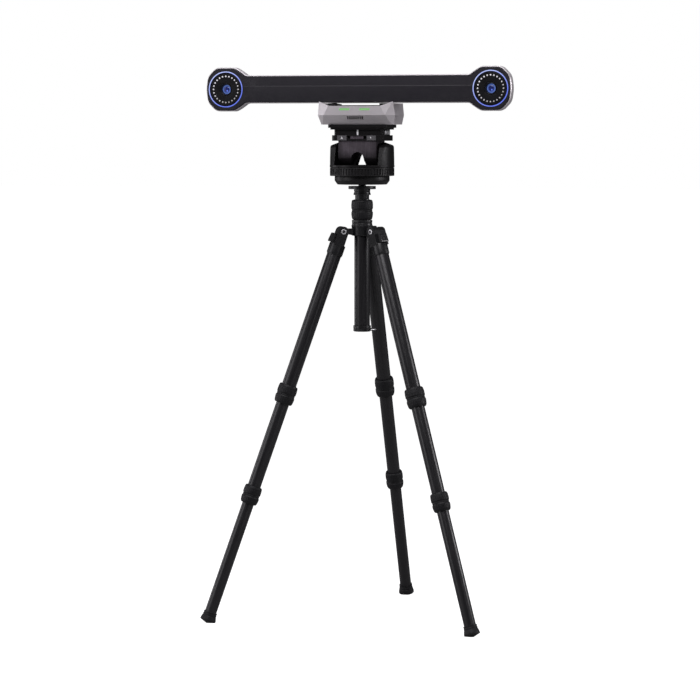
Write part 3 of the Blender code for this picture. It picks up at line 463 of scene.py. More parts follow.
def painted_cover(name):
    """Fine-grained black paint with a violet cast, with painted light that greys it towards the top of the
    bar.
    """
    nodes = Nodes(name, Specular_IOR_Level=0.25)
    fine, blotch = nodes.noise(3.0, 2), nodes.noise(0.03, 2)
    # Painted light: the colour lightens from the bottom of the bar to its top.
    rise = nodes.range(nodes.along("Z"), 0, 1, 950, 1006)
    base = nodes.mix(rise, (0.0095, 0.0088, 0.0125), (0.0135, 0.012, 0.017))
    base = nodes.mix(nodes.range(blotch, 0, 0.5), base, (0.012, 0.011, 0.014))
    base = nodes.mix(nodes.range(fine, 0, 0.2), base, (0.03, 0.028, 0.034))
    base = nodes.worn_and_lit_edges(base, 0.4, (0.05, 0.048, 0.055))
    nodes.bump(fine, 0.02)
    return nodes.finish(base, nodes.range(nodes.noise(0.12, 4), 0.38, 0.5))


def rubber(name, colour, roughness=0.7):
    """Moulded rubber: matte, pebbled, a little dusty in patches."""
    nodes = Nodes(name, Sheen_Weight=0.04, Sheen_Roughness=0.5, Specular_IOR_Level=0.25)
    dust = nodes.noise(0.08, 5)
    base = nodes.mix(nodes.range(dust, 0, 1, 0.45, 0.75), colour, shade(colour, 1.8))
    base = nodes.worn_and_lit_edges(base, 0.35, shade(colour, 2.2))
    nodes.bump(nodes.cells(1.3), 0.03, 0.6)
    return nodes.finish(base, nodes.range(dust, roughness * 0.9, min(1, roughness * 1.15)))


def bare_metal(name, colour, roughness, stretch=(1, 1, 1)):
    """Turned or brushed bare metal, with smudges in its gloss."""
    nodes = Nodes(name, Metallic=1.0)
    lines, smudge = nodes.noise(3.0, 2, stretch), nodes.noise(0.15, 4)
    base = nodes.mix(nodes.range(lines, 0, 1), shade(colour, 0.86), shade(colour, 1.08))
    nodes.bump(lines, 0.01)
    return nodes.finish(base, nodes.range(smudge, roughness * 0.7, roughness * 1.4))


def lit(name, colour, glow, strength, low=None):
    """A diffuser lit from behind, a little uneven; `low` is the painted shade that it fades to at the lower
    right of its pod.
    """
    nodes = Nodes(name, Roughness=0.35, Emission_Strength=strength)
    uneven = nodes.range(nodes.noise(0.25, 2), 0, 1)
    shown = nodes.mix(uneven, shade(glow, 0.86), shade(glow, 1.1))
    # Painted shade: with `low`, the glow fades towards the lower right of the pod.
    if low:
        across, up = nodes.from_lens()
        height = nodes.maths("ADD", up, nodes.maths("MULTIPLY", across, -0.7))
        shown = nodes.mix(nodes.range(height, 1.0, 0.0, -26, 34), shown, low)
    nodes.feed(shown, nodes.shader.inputs["Emission Color"])
    return nodes.finish(nodes.mix(uneven, colour, shade(colour, 0.8)))


def lens_painted_glow(name):
    """Dark glass with a blue coating, given a painted glow that brightens towards its rim and a small painted
    reflection.
    """
    nodes = Nodes(name, Roughness=0.2, Coat_Weight=0.15, Coat_Roughness=0.12, Specular_IOR_Level=0.3,
                  Emission_Strength=0.55)
    across, up = nodes.from_lens()

    def away(x, z):
        """The distance from the point that is `x` across and `z` up from the lens's axis."""
        sides = nodes.maths("ADD", across, -x), nodes.maths("ADD", up, -z)
        squares = [nodes.maths("MULTIPLY", side, side) for side in sides]
        return nodes.maths("SQRT", nodes.maths("ADD", *squares))

    # Painted reflection: the glow is dark in the middle and brightens towards the rim.
    base = nodes.mix(nodes.range(away(0, 0), 0, 1, 4.4, 7.6), (0.003, 0.004, 0.05), (0.14, 0.24, 0.66))
    base = nodes.mix(nodes.range(nodes.noise(0.4, 3), 0, 0.35), base, (0.04, 0.06, 0.28))
    # Painted reflection: one small bright spot near the middle of the glass, which glows in these colours.
    base = nodes.mix(nodes.range(away(1.2, -2.6), 1, 0, 0.5, 1.9), base, (0.16, 0.26, 0.95))
    nodes.feed(base, nodes.shader.inputs["Emission Color"])
    return nodes.finish(base)


def board_mask(name):
    """A green circuit board with copper tracks under its mask."""
    nodes = Nodes(name, Roughness=0.45)
    bricks = nodes.add("ShaderNodeTexBrick")
    inputs = {"Scale": 0.35, "Mortar Size": 0.03, "Vector": nodes.position, "Color1": (0.008, 0.085, 0.03),
              "Color2": (0.010, 0.10, 0.035), "Mortar": (0.03, 0.20, 0.07)}
    for key, value in inputs.items():
        nodes.feed(value, bricks.inputs[key])
    nodes.bump(bricks.outputs["Fac"], 0.02)
    return nodes.finish(bricks.outputs["Color"])


BLACK = (0.006, 0.006, 0.007)
HEAD_BLACK = (0.006, 0.0055, 0.006)

# Each look's slot and material.
LOOKS = {
    "tube": ("anodised_tube", anodised("tube_black", (0.007, 0.0065, 0.008), 0.34, 0.0, streak=0.004,
                                       specular=0.45)),
    "casting": ("cast_black", coated("casting_black", BLACK, 0.36, 0.0, 2.4, 0.03, 2.0, specular=0.4)),
    "rubber": ("grip_rubber", rubber("grip_rubber", (0.004, 0.004, 0.005), 0.5)),
    "tab": ("moulded_black", coated("moulded_black", (0.010, 0.010, 0.011), 0.34)),
    "steel": ("steel", bare_metal("bright_steel", (0.90, 0.90, 0.92), 0.38)),
    # The head's strongly lightened edges are partly edge wear and partly painted edge highlights.
    "head": ("head_black", coated("head_black", HEAD_BLACK, 0.38, 0.0, 2.6, 0.02, 4.0, specular=0.15)),
    "head_side": ("head_black", coated("head_satin", HEAD_BLACK, 0.42, 0.0, 2.6, 0.015, 4.0, specular=0.25)),
    "block": ("block_grey", brushed_block("block_grey", (0.10, 0.085, 0.10), 0.42)),
    "bracket": ("block_grey", coated("bracket_grey", (0.02, 0.018, 0.02), 0.45, 0.3)),
    "slider": ("block_grey", anodised("slider_grey", (0.075, 0.062, 0.075), 0.42, 0.55, (1, 1, 40), 0.08)),
    "tab_panel": ("block_grey", coated("panel_grey", (0.085, 0.082, 0.088), 0.45, 0.3)),
    "mark": ("silver_paint", coated("mark_white", (0.75, 0.75, 0.76), 0.5, edge_wear_and_highlight=1.05)),
    "silver": ("silver_paint", coated("silver_paint", (0.56, 0.53, 0.55), 0.36, 0.4, 3.4, 0.012, 1.6, 0.15)),
    "shell": ("silver_paint", coated("shell_silver", (0.60, 0.57, 0.59), 0.36, 0.35, 3.4, 0.012, 1.4, 0.15)),
    "cover": ("cover_black", painted_cover("cover_black")),
    "bezel": ("led_black", coated("bezel_black", BLACK, 0.36, 0.0, 3.0, 0.01, 1.2, specular=0.2)),
    "navy": ("led_black", coated("navy_seat", (0.012, 0.014, 0.06), 0.4, specular=0.2)),
    # Painted shade: near-black matte, for the shadowed gaps round the LEDs.
    "gap": ("led_black", coated("gap_shade_black", (0.004, 0.004, 0.005), 0.8)),
    "green": ("status_green", lit("status_green", (0.16, 0.34, 0.14), (0.22, 0.55, 0.17), 0.5)),
    # The last colour of the ring and of the LEDs is painted shade at the lower right of each pod.
    "ring": ("light_blue", lit("ring_blue", (0.06, 0.08, 0.25), (0.50, 0.58, 1.0), 0.95, (0.12, 0.18, 0.80))),
    "led": ("led_black", lit("led_white", (0.4, 0.4, 0.4), (0.75, 0.73, 0.8), 0.75, (0.13, 0.12, 0.13))),
    "lens": ("lens_glass", lens_painted_glow("coated_lens")),
    "board": ("circuit_board", board_mask("board_mask")),
    "beam": ("beam", bare_metal("beam_aluminium", (0.66, 0.67, 0.68), 0.35, (30, 1, 1))),
    "black": ("cover_black", coated("plain_black", (0.008, 0.008, 0.009), 0.5)),
}


# ---------------------------------------------------------------- legs

def flutes(count, depth, zones, fade=1.6, beyond=0.0):
    """Relief of shallow flutes round a grip, outside the radius `beyond`, fading at each zone's ends."""
    def relief(radius, height, angle):
        inside = 0.0
        for low, high in zones:
            inside = max(inside, min(1.0, (height - low) / fade, (high - height) / fade))
        if radius <= beyond or inside <= 0:
            return 0.0
        return -depth * inside * (0.5 + 0.5 * math.cos(count * angle))
    return relief


def dense(profile, step):
    """The profile with extra points, so that none of its stretches is longer than `step`."""
    done = []
    for start, end in zip(profile, profile[1:]):
        parts = max(1, math.ceil(math.dist(start, end) / step))
        for k in range(parts):
            t = k / parts
            done.append((start[0] + (end[0] - start[0]) * t, start[1] + (end[1] - start[1]) * t))
    return done + [profile[-1]]


def grip(low, high, radius, bores, flute_count):
    """A two-lobed twist lock: lobes with shallow flutes, a waist with a thin raised ring."""
    waist = (low + high) / 2 - 1
    wide, narrow, step = bores
    outer = shifted([(-2.9, 0), (-1.3, -1.0), (-0.5, -4), (0, -9)], radius, high)
    outer += shifted([(-0.1, 3.4), (-1.2, 2.0), (-1.5, 1.0), (-1.0, 0.5), (-1.0, -0.5), (-1.5, -1.0),
                      (-1.2, -2.0), (-0.1, -3.4)], radius, waist)
    outer += shifted([(-0.2, 9), (-1.0, 4), (-2.0, 1.2), (-3.2, 0)], radius, low)
    inner = [(narrow, low), (narrow, step), (wide, step), (wide, high)]
    zones = [(low + 4.5, waist - 3.0), (waist + 3.0, high - 4.0)]
    relief = flutes(flute_count, 0.32, zones, beyond=wide + 0.5)
    return turned(dense(rounded(outer, 0.8), 1.6) + inner, flute_count * 6, ring=True, relief=relief)


def shoulder(low, high):
    """The hinge casting: two round ears over a web, and the sleeve that holds the upper tube."""
    ear, wide = high.z, high.y
    sleeve_top, end, radius = -25.0, low.z, high.x
    lug = 6.4
    web = arc((0, 0), ear, 0, 180, 24) + [(-9.8, sleeve_top - 2), (9.8, sleeve_top - 2)]
    profile = [(0, sleeve_top), (radius, sleeve_top), (radius, end + 2.2), (radius - 0.8, end + 1.8),
               (radius - 0.8, end), (0, end)]
    sleeve = turned(rounded(profile, 0.7), 56)
    cuts = [block((-20, lug), (-lug, lug), (-lug, 20)), rod(13.8, -60, -26.8, 56),
            rod(3.4, -20, 20, 24, "Y"), block((2.0, 20), (-3.4, 3.4), (-17.4, -11.6))]
    cuts += [block((-6, 6), ends, (-22, -12)) for ends in both(wide - 0.7, wide + 2)]
    return combine(prism(web, -wide, wide, axis="Y"), joined=[sleeve], cut=cuts)


def bolt(high):
    """A hinge pin with domed silver heads and a hexagon socket in each."""
    inner, outer, head, pin = high.y - 1.3, high.y, high.x, 3.0
    half = [(pin, inner), (head, inner), (head, outer - 0.5), (head - 0.7, outer), (0, outer)]
    profile = [(r, -z) for r, z in reversed(half)] + half
    sockets = [prism(hexagon(2.9), *ends, "Y") for ends in both(outer - 1.1, outer + 2)]
    return combine(turned(rounded(profile, 0.25), 40, "Y"), cut=sockets)


def hexagon(radius):
    return arc((0, 0), radius, 0, 300, 5)


def tab(low, high):
    """The pull-out angle stop, ridged where a thumb presses it."""
    top, bottom, out, wide = high.z, low.z, high.x, high.y
    root = 10.2
    side = [(root, top), (out - 2.4, top), (out - 1.6, top - 1), (out, bottom + 1.5), (out - 0.6, bottom),
            (root, bottom)]
    stem = block((3.0, 11.0), (-3, 3), (-17, -12))
    ridges = []
    for k in range(5):
        level = top - 4.0 - 2.4 * k
        ridges.append(block((out - 1.2 - 0.1 * k, out + 2), (-wide + 1.6, wide - 1.6), (level, level + 1.0)))
    return combine(prism(side, -wide, wide, axis="Y"), joined=[stem], cut=ridges)


def foot(high, leg, place):
    """A rubber foot with gripping rings; its cone sole is flat where it stands."""
    tube_low, tube_high = span(f"{leg}_lower_tube", place)
    top, rim_radius = high.z, high.x
    inverse = place.inverted()
    floor = (inverse.to_3x3() @ -UP).normalized()
    floor_point = inverse @ Vector((place.translation.x, place.translation.y, 0))
    slope = math.asin(abs(floor.x))
    tip = -(floor.dot(floor_point) + 0.8) / math.cos(slope)
    rim = tip + rim_radius * math.tan(slope)
    socket, end = tube_high.x + 0.35, tube_low.z - 0.4
    outer = shifted([(socket, 0), (12.6, 0), (12.6, -2.5), (12.1, -3.0), (12.1, -3.6), (12.7, -4.1),
                     (12.9, -6.5), (12.5, -7.0), (12.6, -7.6), (13.3, -8.2)], 0, top)
    outer += [(rim_radius, rim + 2.4), (rim_radius, rim)]
    shape = turned(rounded(outer, 0.5) + [(0, tip), (0, end), (socket, end), (socket, top)], 64)
    cut = bmesh.ops.bisect_plane(shape, geom=shape.verts[:] + shape.edges[:] + shape.faces[:],
                                 plane_co=floor_point, plane_no=floor, clear_outer=True)
    rim_edges = [item for item in cut["geom_cut"] if isinstance(item, bmesh.types.BMEdge)]
    bmesh.ops.contextual_create(shape, geom=rim_edges)
    bmesh.ops.remove_doubles(shape, verts=shape.verts, dist=1e-3)
    return outward(shape)


def add_leg(leg):
    place = LEG_FRAMES[leg]

    def put(part, shape, look, body, bevel=0.0):
        stand_in(f"{leg}_{part}", shape, look, f"{leg}_{body}", place=place, bevel=bevel)

    def limits(part):
        return span(f"{leg}_{part}", place)

    bolt_end = limits("hinge_bolt")[1]
    put("shoulder", shoulder(*limits("shoulder")), "casting", "leg", 0.6)
    put("hinge_bolt", bolt(bolt_end), "steel", "leg")
    # Painted shade: a black hexagon deep in each socket, where the steel floor lies in shadow.
    socket_shade_floors = [prism(hexagon(2.8), *ends, "Y") for ends in both(bolt_end.y - 1.0, bolt_end.y - 0.8)]
    piece(f"{leg}_bolt_socket_shade", merged(socket_shade_floors), "casting", f"{leg}_leg", place=place)
    put("angle_tab", tab(*limits("angle_tab")), "tab", "angle_tab", 0.35)
    for part, body in (("upper_tube", "leg"), ("mid_tube", "mid_section"), ("lower_tube", "lower_section")):
        low, high = limits(part)
        put(part, tube(high.x, high.x - 0.8, low.z, high.z), "tube", body)
    for part, outside, inside in (("upper_lock", "upper_tube", "mid_tube"),
                                  ("lower_lock", "mid_tube", "lower_tube")):
        low, high = limits(part)
        around, passing = limits(outside), limits(inside)
        bores = (around[1].x + 0.5, passing[1].x + 0.5, around[0].z - 0.4)
        put(part, grip(low.z, high.z, high.x, bores, 30), "rubber", part)
    put("foot", foot(limits("foot")[1], leg, place), "rubber", "lower_section")


# ---------------------------------------------------------------- crown and column

def crown():
    low, high = span("crown")
    neck, radius, reach, hinge_bore, lug_radius = 19.0, 19.5, 38.0, 3.4, 5.5
    hinge_z = joint_place("rear_spread").z
    profile = [(0, low.z)]
    profile += shifted([(-1.4, 0), (0, 1.4), (0, 17), (0.6, 17.4), (0.6, 19)], radius, low.z)
    profile += shifted([(0, 19.6), (0, 22.5), (-0.7, 23), (-0.7, 24), (0, 24.5)], neck, low.z)
    body = turned(rounded(profile + [(neck, high.z), (0, high.z)], 0.4), 72)
    lugs, holes = [], []
    for leg in LEGS:
        out = LEG_FRAMES[leg].to_3x3() @ Vector((1, 0, 0))
        turn = Matrix.Rotation(math.atan2(out.y, out.x), 4, "Z")
        side = [(15.0, hinge_z - lug_radius)] + arc((reach, hinge_z), lug_radius, -90, 90, 16)
        lug = prism(side + [(15.0, hinge_z + lug_radius)], -6, 6, axis="Y")
        under = shifted([(15, -7.6), (23, -6.0), (30, -5.0), (30, 3), (15, 3)], 0, hinge_z)
        rib = prism(under, -3.2, 3.2, axis="Y")
        hole = rod(hinge_bore, -20, 20, 24, "Y", (reach, 0, hinge_z))
        for shape, group in ((lug, lugs), (rib, lugs), (hole, holes)):
            bmesh.ops.transform(shape, matrix=turn, verts=shape.verts)
            group.append(shape)
    column_bore = 14.9
    bore = rod(column_bore, low.z - 5, high.z + 5, 72)
    return combine(body, joined=lugs, cut=[bore, *holes])


def top_plate():
    low, high = span("column_top_plate")
    edge, disc, stud, hub = high.x, high.z - 11, 7.0, 15.1
    profile = [(0, low.z), (12.8, low.z), (12.8, 775.9), (13.1, 775.9), (13.1, 783.6), (16.0, 783.6),
               (16.0, 786.4)]
    profile += shifted([(0, 786.6), (0, 789.2), (-0.5, 789.6), (-0.5, 790.2), (0, 790.6), (0, 794.4)], hub, 0)
    profile += [(edge, 794.4), (edge, disc), (stud, disc), (stud, high.z), (0, high.z)]
    return turned(rounded(profile, 0.35), 72)


def end_cap():
    low, high = span("column_end_cap")
    radius, plug = -low.x, 12.8
    profile = shifted([(0, 0), (9.0, 0), (9.4, 0.6), (10.2, 0.6), (10.6, 0)], 0, low.z)
    profile += shifted([(-1.5, 0), (0, 1.5), (0, 3.4), (-0.5, 3.8), (-0.5, 4.6), (0, 5), (0, 11)],
                       radius, low.z)
    profile += [(plug, low.z + 11), (plug, high.z), (0, high.z)]
    body = turned(rounded(profile, 0.35), 72)
    hook_x, _, hook_z = joint_place("weight_hook_swing")
    boss_radius = 2.6
    round_end = arc((hook_x, hook_z), boss_radius, -90, 90, 12)
    boss = prism([(12, hook_z - boss_radius)] + round_end + [(12, hook_z + boss_radius)], -2.8, 2.8, axis="Y")
    hole = rod(1.3, -12, 12, 20, "Y", (hook_x, 0, hook_z))
    return combine(body, joined=[boss], cut=[hole])


def hook():
    """A closed wire loop with squarish corners, from the formula of a superellipse."""
    low, high = span("weight_hook")
    wire = (high.z - low.z) / 2
    half = (high - low) / 2 - Vector((wire, wire, 0))
    path = []
    for step in range(48):
        angle = math.tau * step / 48
        x, y = [math.copysign(abs(value) ** 0.6, value) for value in (math.cos(angle), math.sin(angle))]
        path.append((low + high) / 2 + Vector((x * half.x, y * half.y, 0)))
    return sweep(path, wire)


def add_column():
    stand_in("crown", crown(), "casting", "crown", bevel=0.5)
    low, high = span("column_lock")
    stand_in("column_lock", grip(low.z, high.z, high.x, (15.0, 15.0, low.z + 4), 34), "rubber", "column_lock")
    low, high = span("centre_column")
    stand_in("centre_column", tube(high.x, high.x - 1.2, low.z, high.z, 72), "tube", "column")
    stand_in("column_top_plate", top_plate(), "casting", "column")
    stand_in("column_end_cap", end_cap(), "casting", "column")
    stand_in("weight_hook", hook(), "steel", "weight_hook")


# ---------------------------------------------------------------- pan and tilt head

def pan_base():
    low, high = span("pan_base")
    edge, rim = high.x, high.z - 10.7
    profile = [(0, low.z)]
    profile += shifted([(-5.9, 0), (-5.0, 0.4), (-0.7, 6.2), (0, 7.6)], edge, low.z)
    profile += shifted([(0, -1.6), (-0.4, -1.3), (-0.4, -0.8), (0, -0.5), (0, 0)], edge, rim)
    profile += [(12, rim), (12, high.z), (0, high.z)]
    return combine(turned(rounded(profile, 0.5), 120), cut=[rod(7.4, low.z - 5, 811.4, 48)])


def drag_ring():
    """A ring of raised ribs between two thin rims."""
    low, high = span("pan_drag_ring")
    edge, bore, ribs = high.x, 47, 64
    profile = shifted([(-0.8, 0), (0, 0.8), (0, 1.8)], edge, low.z)
    profile += shifted([(0, -1.8), (0, -0.8), (-0.8, 0)], edge, high.z)
    profile += [(bore, high.z), (bore, low.z)]

    def grooves(radius, height, angle):
        inside = min(height - low.z - 1.8, high.z - 1.8 - height, 0.5) / 0.5
        side = (math.cos(ribs * angle) + 0.25) * 2.2
        return -1.5 * max(0.0, inside) * min(1.0, max(0.0, side)) if radius > bore + 3 else 0.0

    return turned(dense(rounded(profile, 0.3, ring=True), 0.9), ribs * 10, ring=True, relief=grooves)


def ear_shapes(deck, inner):
    """The yoke's two ears: wide at the deck, narrowing to a top that slopes outwards."""
    low_z, top = deck - 2.0, 880.8
    sides = rounded([(59.7, low_z), (59.6, 850.0), (59.0, 873.0), (57.3, 875.6), (43.0, top)], 1.6)
    drum = turned([(0, low_z)] + sides + [(0, top)], 144)
    edge = rounded([(39.0, deck), (36.0, 850.0), (32.5, 862.0), (28.5, 872.0), (22.0, 876.0), (12.0, 880.4),
                    (0, 882)], 4.0)[:-1]
    right = [(39.0, low_z - 1)] + edge
    pair = combine(drum, within=[prism(right + [(-y, z) for y, z in reversed(right)], -70, 70, axis="X")])
    ears = []
    for ends in both(inner, 70):
        half = block(ends, (-70, 70), (low_z - 5, top + 5))
        ears.append(combine(pair.copy(), within=[half]))
    pair.free()
    return ears


def yoke():
    low, high = span("yoke")
    deck, well, web = 838.8, 832.6, 834.8
    knob_low, knob_high = span("tilt_lock_knob")
    knob_place = (knob_low + knob_high) / 2
    groove = [(70, low.z - 5), (70, web), (46.3, web), (46.3, low.z - 5)]
    cuts = [
        block((-40.5, 40.5), (-20.5, 20.5), (well, deck + 1)),
        turned(groove, 144, ring=True),
        rod(12.5, low.z - 6, 829.4, 64),
        rod(4.9, -51, 51, 32, "X", (0, 0, TILT_Z)),
        rod(2.9, 0, 60, 24, "Y", (knob_place.x, 0, knob_place.z)),
    ]
    return combine(rod(high.x, low.z, deck, 144), joined=ear_shapes(deck, 42.0), cut=cuts)


def tilt_block():
    low, high = span("tilt_block")
    radius = TILT_Z - low.z
    first, last = [math.degrees(math.atan2(-math.sqrt(radius ** 2 - y ** 2), y)) for y in (low.y, high.y)]
    under = arc((0, TILT_Z), radius, first, last, 28)
    body = prism([(low.y, high.z)] + under + [(high.y, high.z)], low.x, high.x, axis="X")
    bell = rounded([(0, 860.2), (2.4, 859.0), (4.4, 855.0), (5.6, 852.0), (6.7, 849.0), (7.9, 845.0),
                    (9.3, 841.0), (11.4, 836.5), (15.0, 830.0), (17, 826)], 1.5)
    wide = arc((0, 851.0), 11.9, 90, 0, 12) + [(12.3, 846.5), (14.0, 841.0), (17.5, 835.0), (22.0, 828.0)]
    tunnel, recess = [prism(half + [(-x, z) for x, z in reversed(half[1:])], -50, end, axis="Y")
                      for half, end in ((bell, 50), (wide, -8.5))]
    hollow = block((-24, 24), (9, 50), (820, 859.1))
    return combine(body, cut=[tunnel, recess, hollow, rod(4.9, -60, 60, 32, "X", (0, 0, TILT_Z))])


def knob():
    low, high = span("tilt_lock_knob")
    middle = (low + high) / 2
    radius, end, stem = (high.x - low.x) / 2, high.y, 2.5
    profile = [(0, low.y), (stem, low.y)]
    profile += shifted([(stem, -13.4), (4.0, -13.4), (radius, -11.6), (radius, -3), (radius - 1.5, 0),
                        (0, 0)], 0, end)
    relief = flutes(12, 0.9, [(end - 12, end - 1)], 1.5, beyond=5)
    return turned(dense(rounded(profile, 0.6), 2.0), 96, "Y", (middle.x, 0, middle.z), relief=relief)


def chamfered(half_x, half_y, corner, back_corner=2.0):
    right = [(half_x - corner, -half_y), (half_x, -half_y + corner),
             (half_x, half_y - back_corner), (half_x - back_corner, half_y)]
    return mirrored(right)


def clamp():
    """The clamp's flange and neck, each a hair past the CAD's, so that no light shows under and over them."""
    low, high = span("clamp_body")
    slider_low, slider_high = span("clamp_lock_slider")
    flange_top, front = low.z + 10, low.y
    flange = prism(chamfered(high.x, -front, 6.0), low.z - 0.26, flange_top)
    neck = prism(chamfered(46.0, 28.0, 3.0), flange_top - 1, high.z + 0.38)
    slot = block((-18.5, 18.5), (-60, front + 4.5), (slider_low.z - 0.4, slider_high.z + 0.4))
    pocket = block((-30, 30), (-20, 20), (897.6, high.z + 5))
    side = block((42.0, 60), (-15.4, 17.4), (894.8, 903.2))
    guide = block((-18.5, 18.5), (-34, -23), (888.6, 890.8))
    return combine(flange, joined=[neck], cut=[slot, pocket, side, guide])


def slider():
    low, high = span("clamp_lock_slider")
    face = block((low.x, high.x), (low.y, low.y + 3.1), (low.z, high.z))
    tongue = block((-8, 8), (low.y + 1, high.y), (889.0, 890.4))
    grooves = [block((x - 0.4, x + 0.4), (low.y - 1, low.y + 0.5), (low.z + 0.8, high.z - 0.8))
               for x in range(-6, 7, 2)]
    return combine(face, joined=[tongue], cut=grooves)


def release_button():
    low, high = span("plate_release_button")
    side = [(low.x, low.z)] + shifted([(-0.6, 0), (0, 0.8)], high.x, low.z)
    side += shifted([(0, -0.8), (-0.6, 0)], high.x, high.z) + [(low.x, high.z)]
    dimple = rod(1.3, high.x - 0.7, high.x + 2, 24, "X", (0, low.y + 6, (low.z + high.z) / 2))
    return combine(prism(side, low.y, high.y, axis="Y"), cut=[dimple])


def quick_plate():
    low, high = span("quick_release_plate")
    lower = prism(chamfered(52.3, 33.0, 3.0), 904.3, 907.6)
    upper = prism(chamfered(high.x, high.y, 3.5), 907.6, high.z)
    foot_block = block((-29.6, 29.6), (-19.6, 19.6), (low.z, 905.3))
    cuts = [rod(3.6, 890, 930, 32), rod(9.0, 890, 902.4, 48)]
    for x in (-40, 40):
        cuts.append(block((x - 6, x + 6), (-1.2, 1.2), (low.z, 905.4)))
    return combine(lower, joined=[upper, foot_block], cut=cuts)


def add_clamp_marks():
    """Grey panels either side of the slot, with a triangle and a dot, and a white index line above."""
    low, high = span("clamp_body")
    front, bottom = low.y, low.z
    depth, z = (front - 0.45, front - 0.1), bottom + 5.4
    triangle = prism(shifted([(-2.2, -1.7), (2.2, -1.7), (0, 2.2)], -28.8, z), *depth, axis="Y")
    dot = rod(1.2, *depth, 32, "Y", (27.0, 0, z))
    for x, name, mark in (((-37.7, -19.6), "left", triangle), ((19.2, 37.0), "right", dot)):
        panel = block(x, (front - 0.35, front + 0.3), (bottom + 0.6, bottom + 9.4))
        piece(f"clamp_{name}_panel", panel, "tab_panel", "tilt_platform", bevel=0.25)
        piece(f"clamp_{name}_mark", mark, "mark", "tilt_platform")
    line = block((-1.5, 1.5), (-28.25, -27.6), (bottom + 10.1, high.z - 0.1))
    piece("clamp_index_line", line, "mark", "tilt_platform")


def screw():
    low, high = span("plate_screw")
    head, shaft = high.x, 3.2
    profile = [(0, low.z), (head, low.z), (head, low.z + 3), (shaft, low.z + 3)]
    profile += shifted([(0, -0.8), (-0.8, 0)], shaft, high.z) + [(0, high.z)]
    slot = block((-1, 1), (-12, 12), (low.z - 2, low.z + 1.2))
    return combine(turned(rounded(profile, 0.3), 48), cut=[slot])


def add_head():
    stand_in("pan_base", pan_base(), "head_side", "column")
    stand_in("pan_drag_ring", drag_ring(), "head_side", "pan_drag_ring")
    stand_in("yoke", yoke(), "head", "yoke", bevel=0.9, angle=28, segments=3)
    low, high = span("tilt_axle")
    axle = rod((high.z - low.z) / 2, low.x, high.x, 40, "X", (0, 0, (low.z + high.z) / 2), 0.5)
    stand_in("tilt_axle", axle, "steel", "tilt_platform")
    stand_in("tilt_block", tilt_block(), "block", "tilt_platform", bevel=0.7)
    stand_in("tilt_lock_knob", knob(), "rubber", "tilt_lock_knob")
    stand_in("clamp_body", clamp(), "head", "tilt_platform", bevel=0.5)
    stand_in("clamp_lock_slider", slider(), "slider", "clamp_lock_slider", bevel=0.25)
    stand_in("plate_release_button", release_button(), "steel", "plate_release_button", bevel=0.3)
    stand_in("quick_release_plate", quick_plate(), "head", "tracker", bevel=0.45)
    stand_in("plate_screw", screw(), "steel", "tracker")
    add_clamp_marks()


# ---------------------------------------------------------------- mount block

def slanted(x0, x1, z0, z1, lean):
    return [(x0, z0), (x1, z0), (x1 + lean, z1), (x0 + lean, z1)]


def status_bar(side, gap, depth):
    """One green status bar, or with no `gap` its window in the shell."""
    middle, half = side * 19.4, 10.1 - gap
    return prism(slanted(middle - half, middle + half, 939.6 + gap, 943.6 - gap, 1.0), *depth, axis="Y")


ROOM = ((44.0, -46.0), (57.0, -37.0), (57.0, 13.0))


def mount_shell():
    low, _ = span("mount_block_shell")
    # A hair below the CAD's bottom, so that no light shows between the housing and the plate.
    bottom_z, crease_z, top_z, under_bar = low.z - 0.35, 931.0, 947.7, 952.5
    bottom = mirrored([(66.6, -31.8, bottom_z), (70.3, -28.1, bottom_z), (72.6, 14.5, bottom_z),
                       (60, 16.5, bottom_z)])
    crease = mirrored([(59.2, -49.3, crease_z), (74.6, -36, crease_z), (76.5, 14.5, crease_z),
                       (60, 17, crease_z)])
    top = mirrored([(49.9, -51, top_z), (71, -40, 956), (74.3, 14.5, under_bar), (49.9, 17, top_z)])
    body = loft([bottom, crease, top])
    bmesh.ops.triangulate(body, faces=body.faces)
    lower_room = block((-56, 56), (-28, 10.5), (bottom_z + 3.6, crease_z + 1))
    button_low, button_high = span("power_button")
    button_place = (button_low + button_high) / 2
    above = 970
    cuts = [
        block((-49.9, 49.9), (-60, 30), (top_z, above)),
        block((-90, 90), (-38.5, 30), (under_bar, above)),
        combine(prism(mirrored(ROOM), crease_z - 0.5, above), joined=[lower_room]),
        rod(3.6, 900, 925, 32),
        rod(4.4, 5, 30, 48, "Y", (button_place.x, 0, button_place.z)),
        prism([(-30, 924.2), (-25.5, 924.2), (-21.5, 929.8), (-26, 929.8)], 70, 90, axis="X"),
    ]
    cuts += [status_bar(side, 0, (-60, -40)) for side in (-1, 1)]
    for x in range(-14, 15, 4):
        cuts.append(prism(slanted(x - 2.2, x + 0.8, 923.0, 929.2, 1.6), -60, -20, axis="Y"))
    cuts += [block((x, x + 8), (12, 30), (934, 938)) for x in (18, 29, 40)]
    return combine(body, cut=cuts)


def light_pipe():
    rail = block((-31, 31), (-45.4, -43.4), (938, 945.4))
    return combine(rail, joined=[status_bar(side, 0.2, (-50.4, -44)) for side in (-1, 1)])


def power_button():
    low, high = span("power_button")
    middle = (low + high) / 2
    flange, key = (high.x - low.x) / 2, 4.0
    profile = [(0, low.y), (flange, low.y), (flange, low.y + 1.4), (key, low.y + 1.4)]
    profile += shifted([(key, -0.5), (3.4, 0), (1.8, -0.4), (0, -0.4)], 0, high.y)
    return turned(rounded(profile, 0.25), 48, "Y", (middle.x, 0, middle.z))


def main_board():
    top = span("main_board")[1].z
    chips = ((-30, -8, 14, 14), (0, -6, 10, 10), (26, -10, 16, 8), (-8, -16, 8, 4), (40, 2, 9, 6),
             (-44, 3, 7, 5))
    added = [block((x - wide / 2, x + wide / 2), (y - deep / 2, y + deep / 2), (top - 0.1, top + 1.4))
             for x, y, wide, deep in chips]
    return combine(whole("main_board"), joined=added)


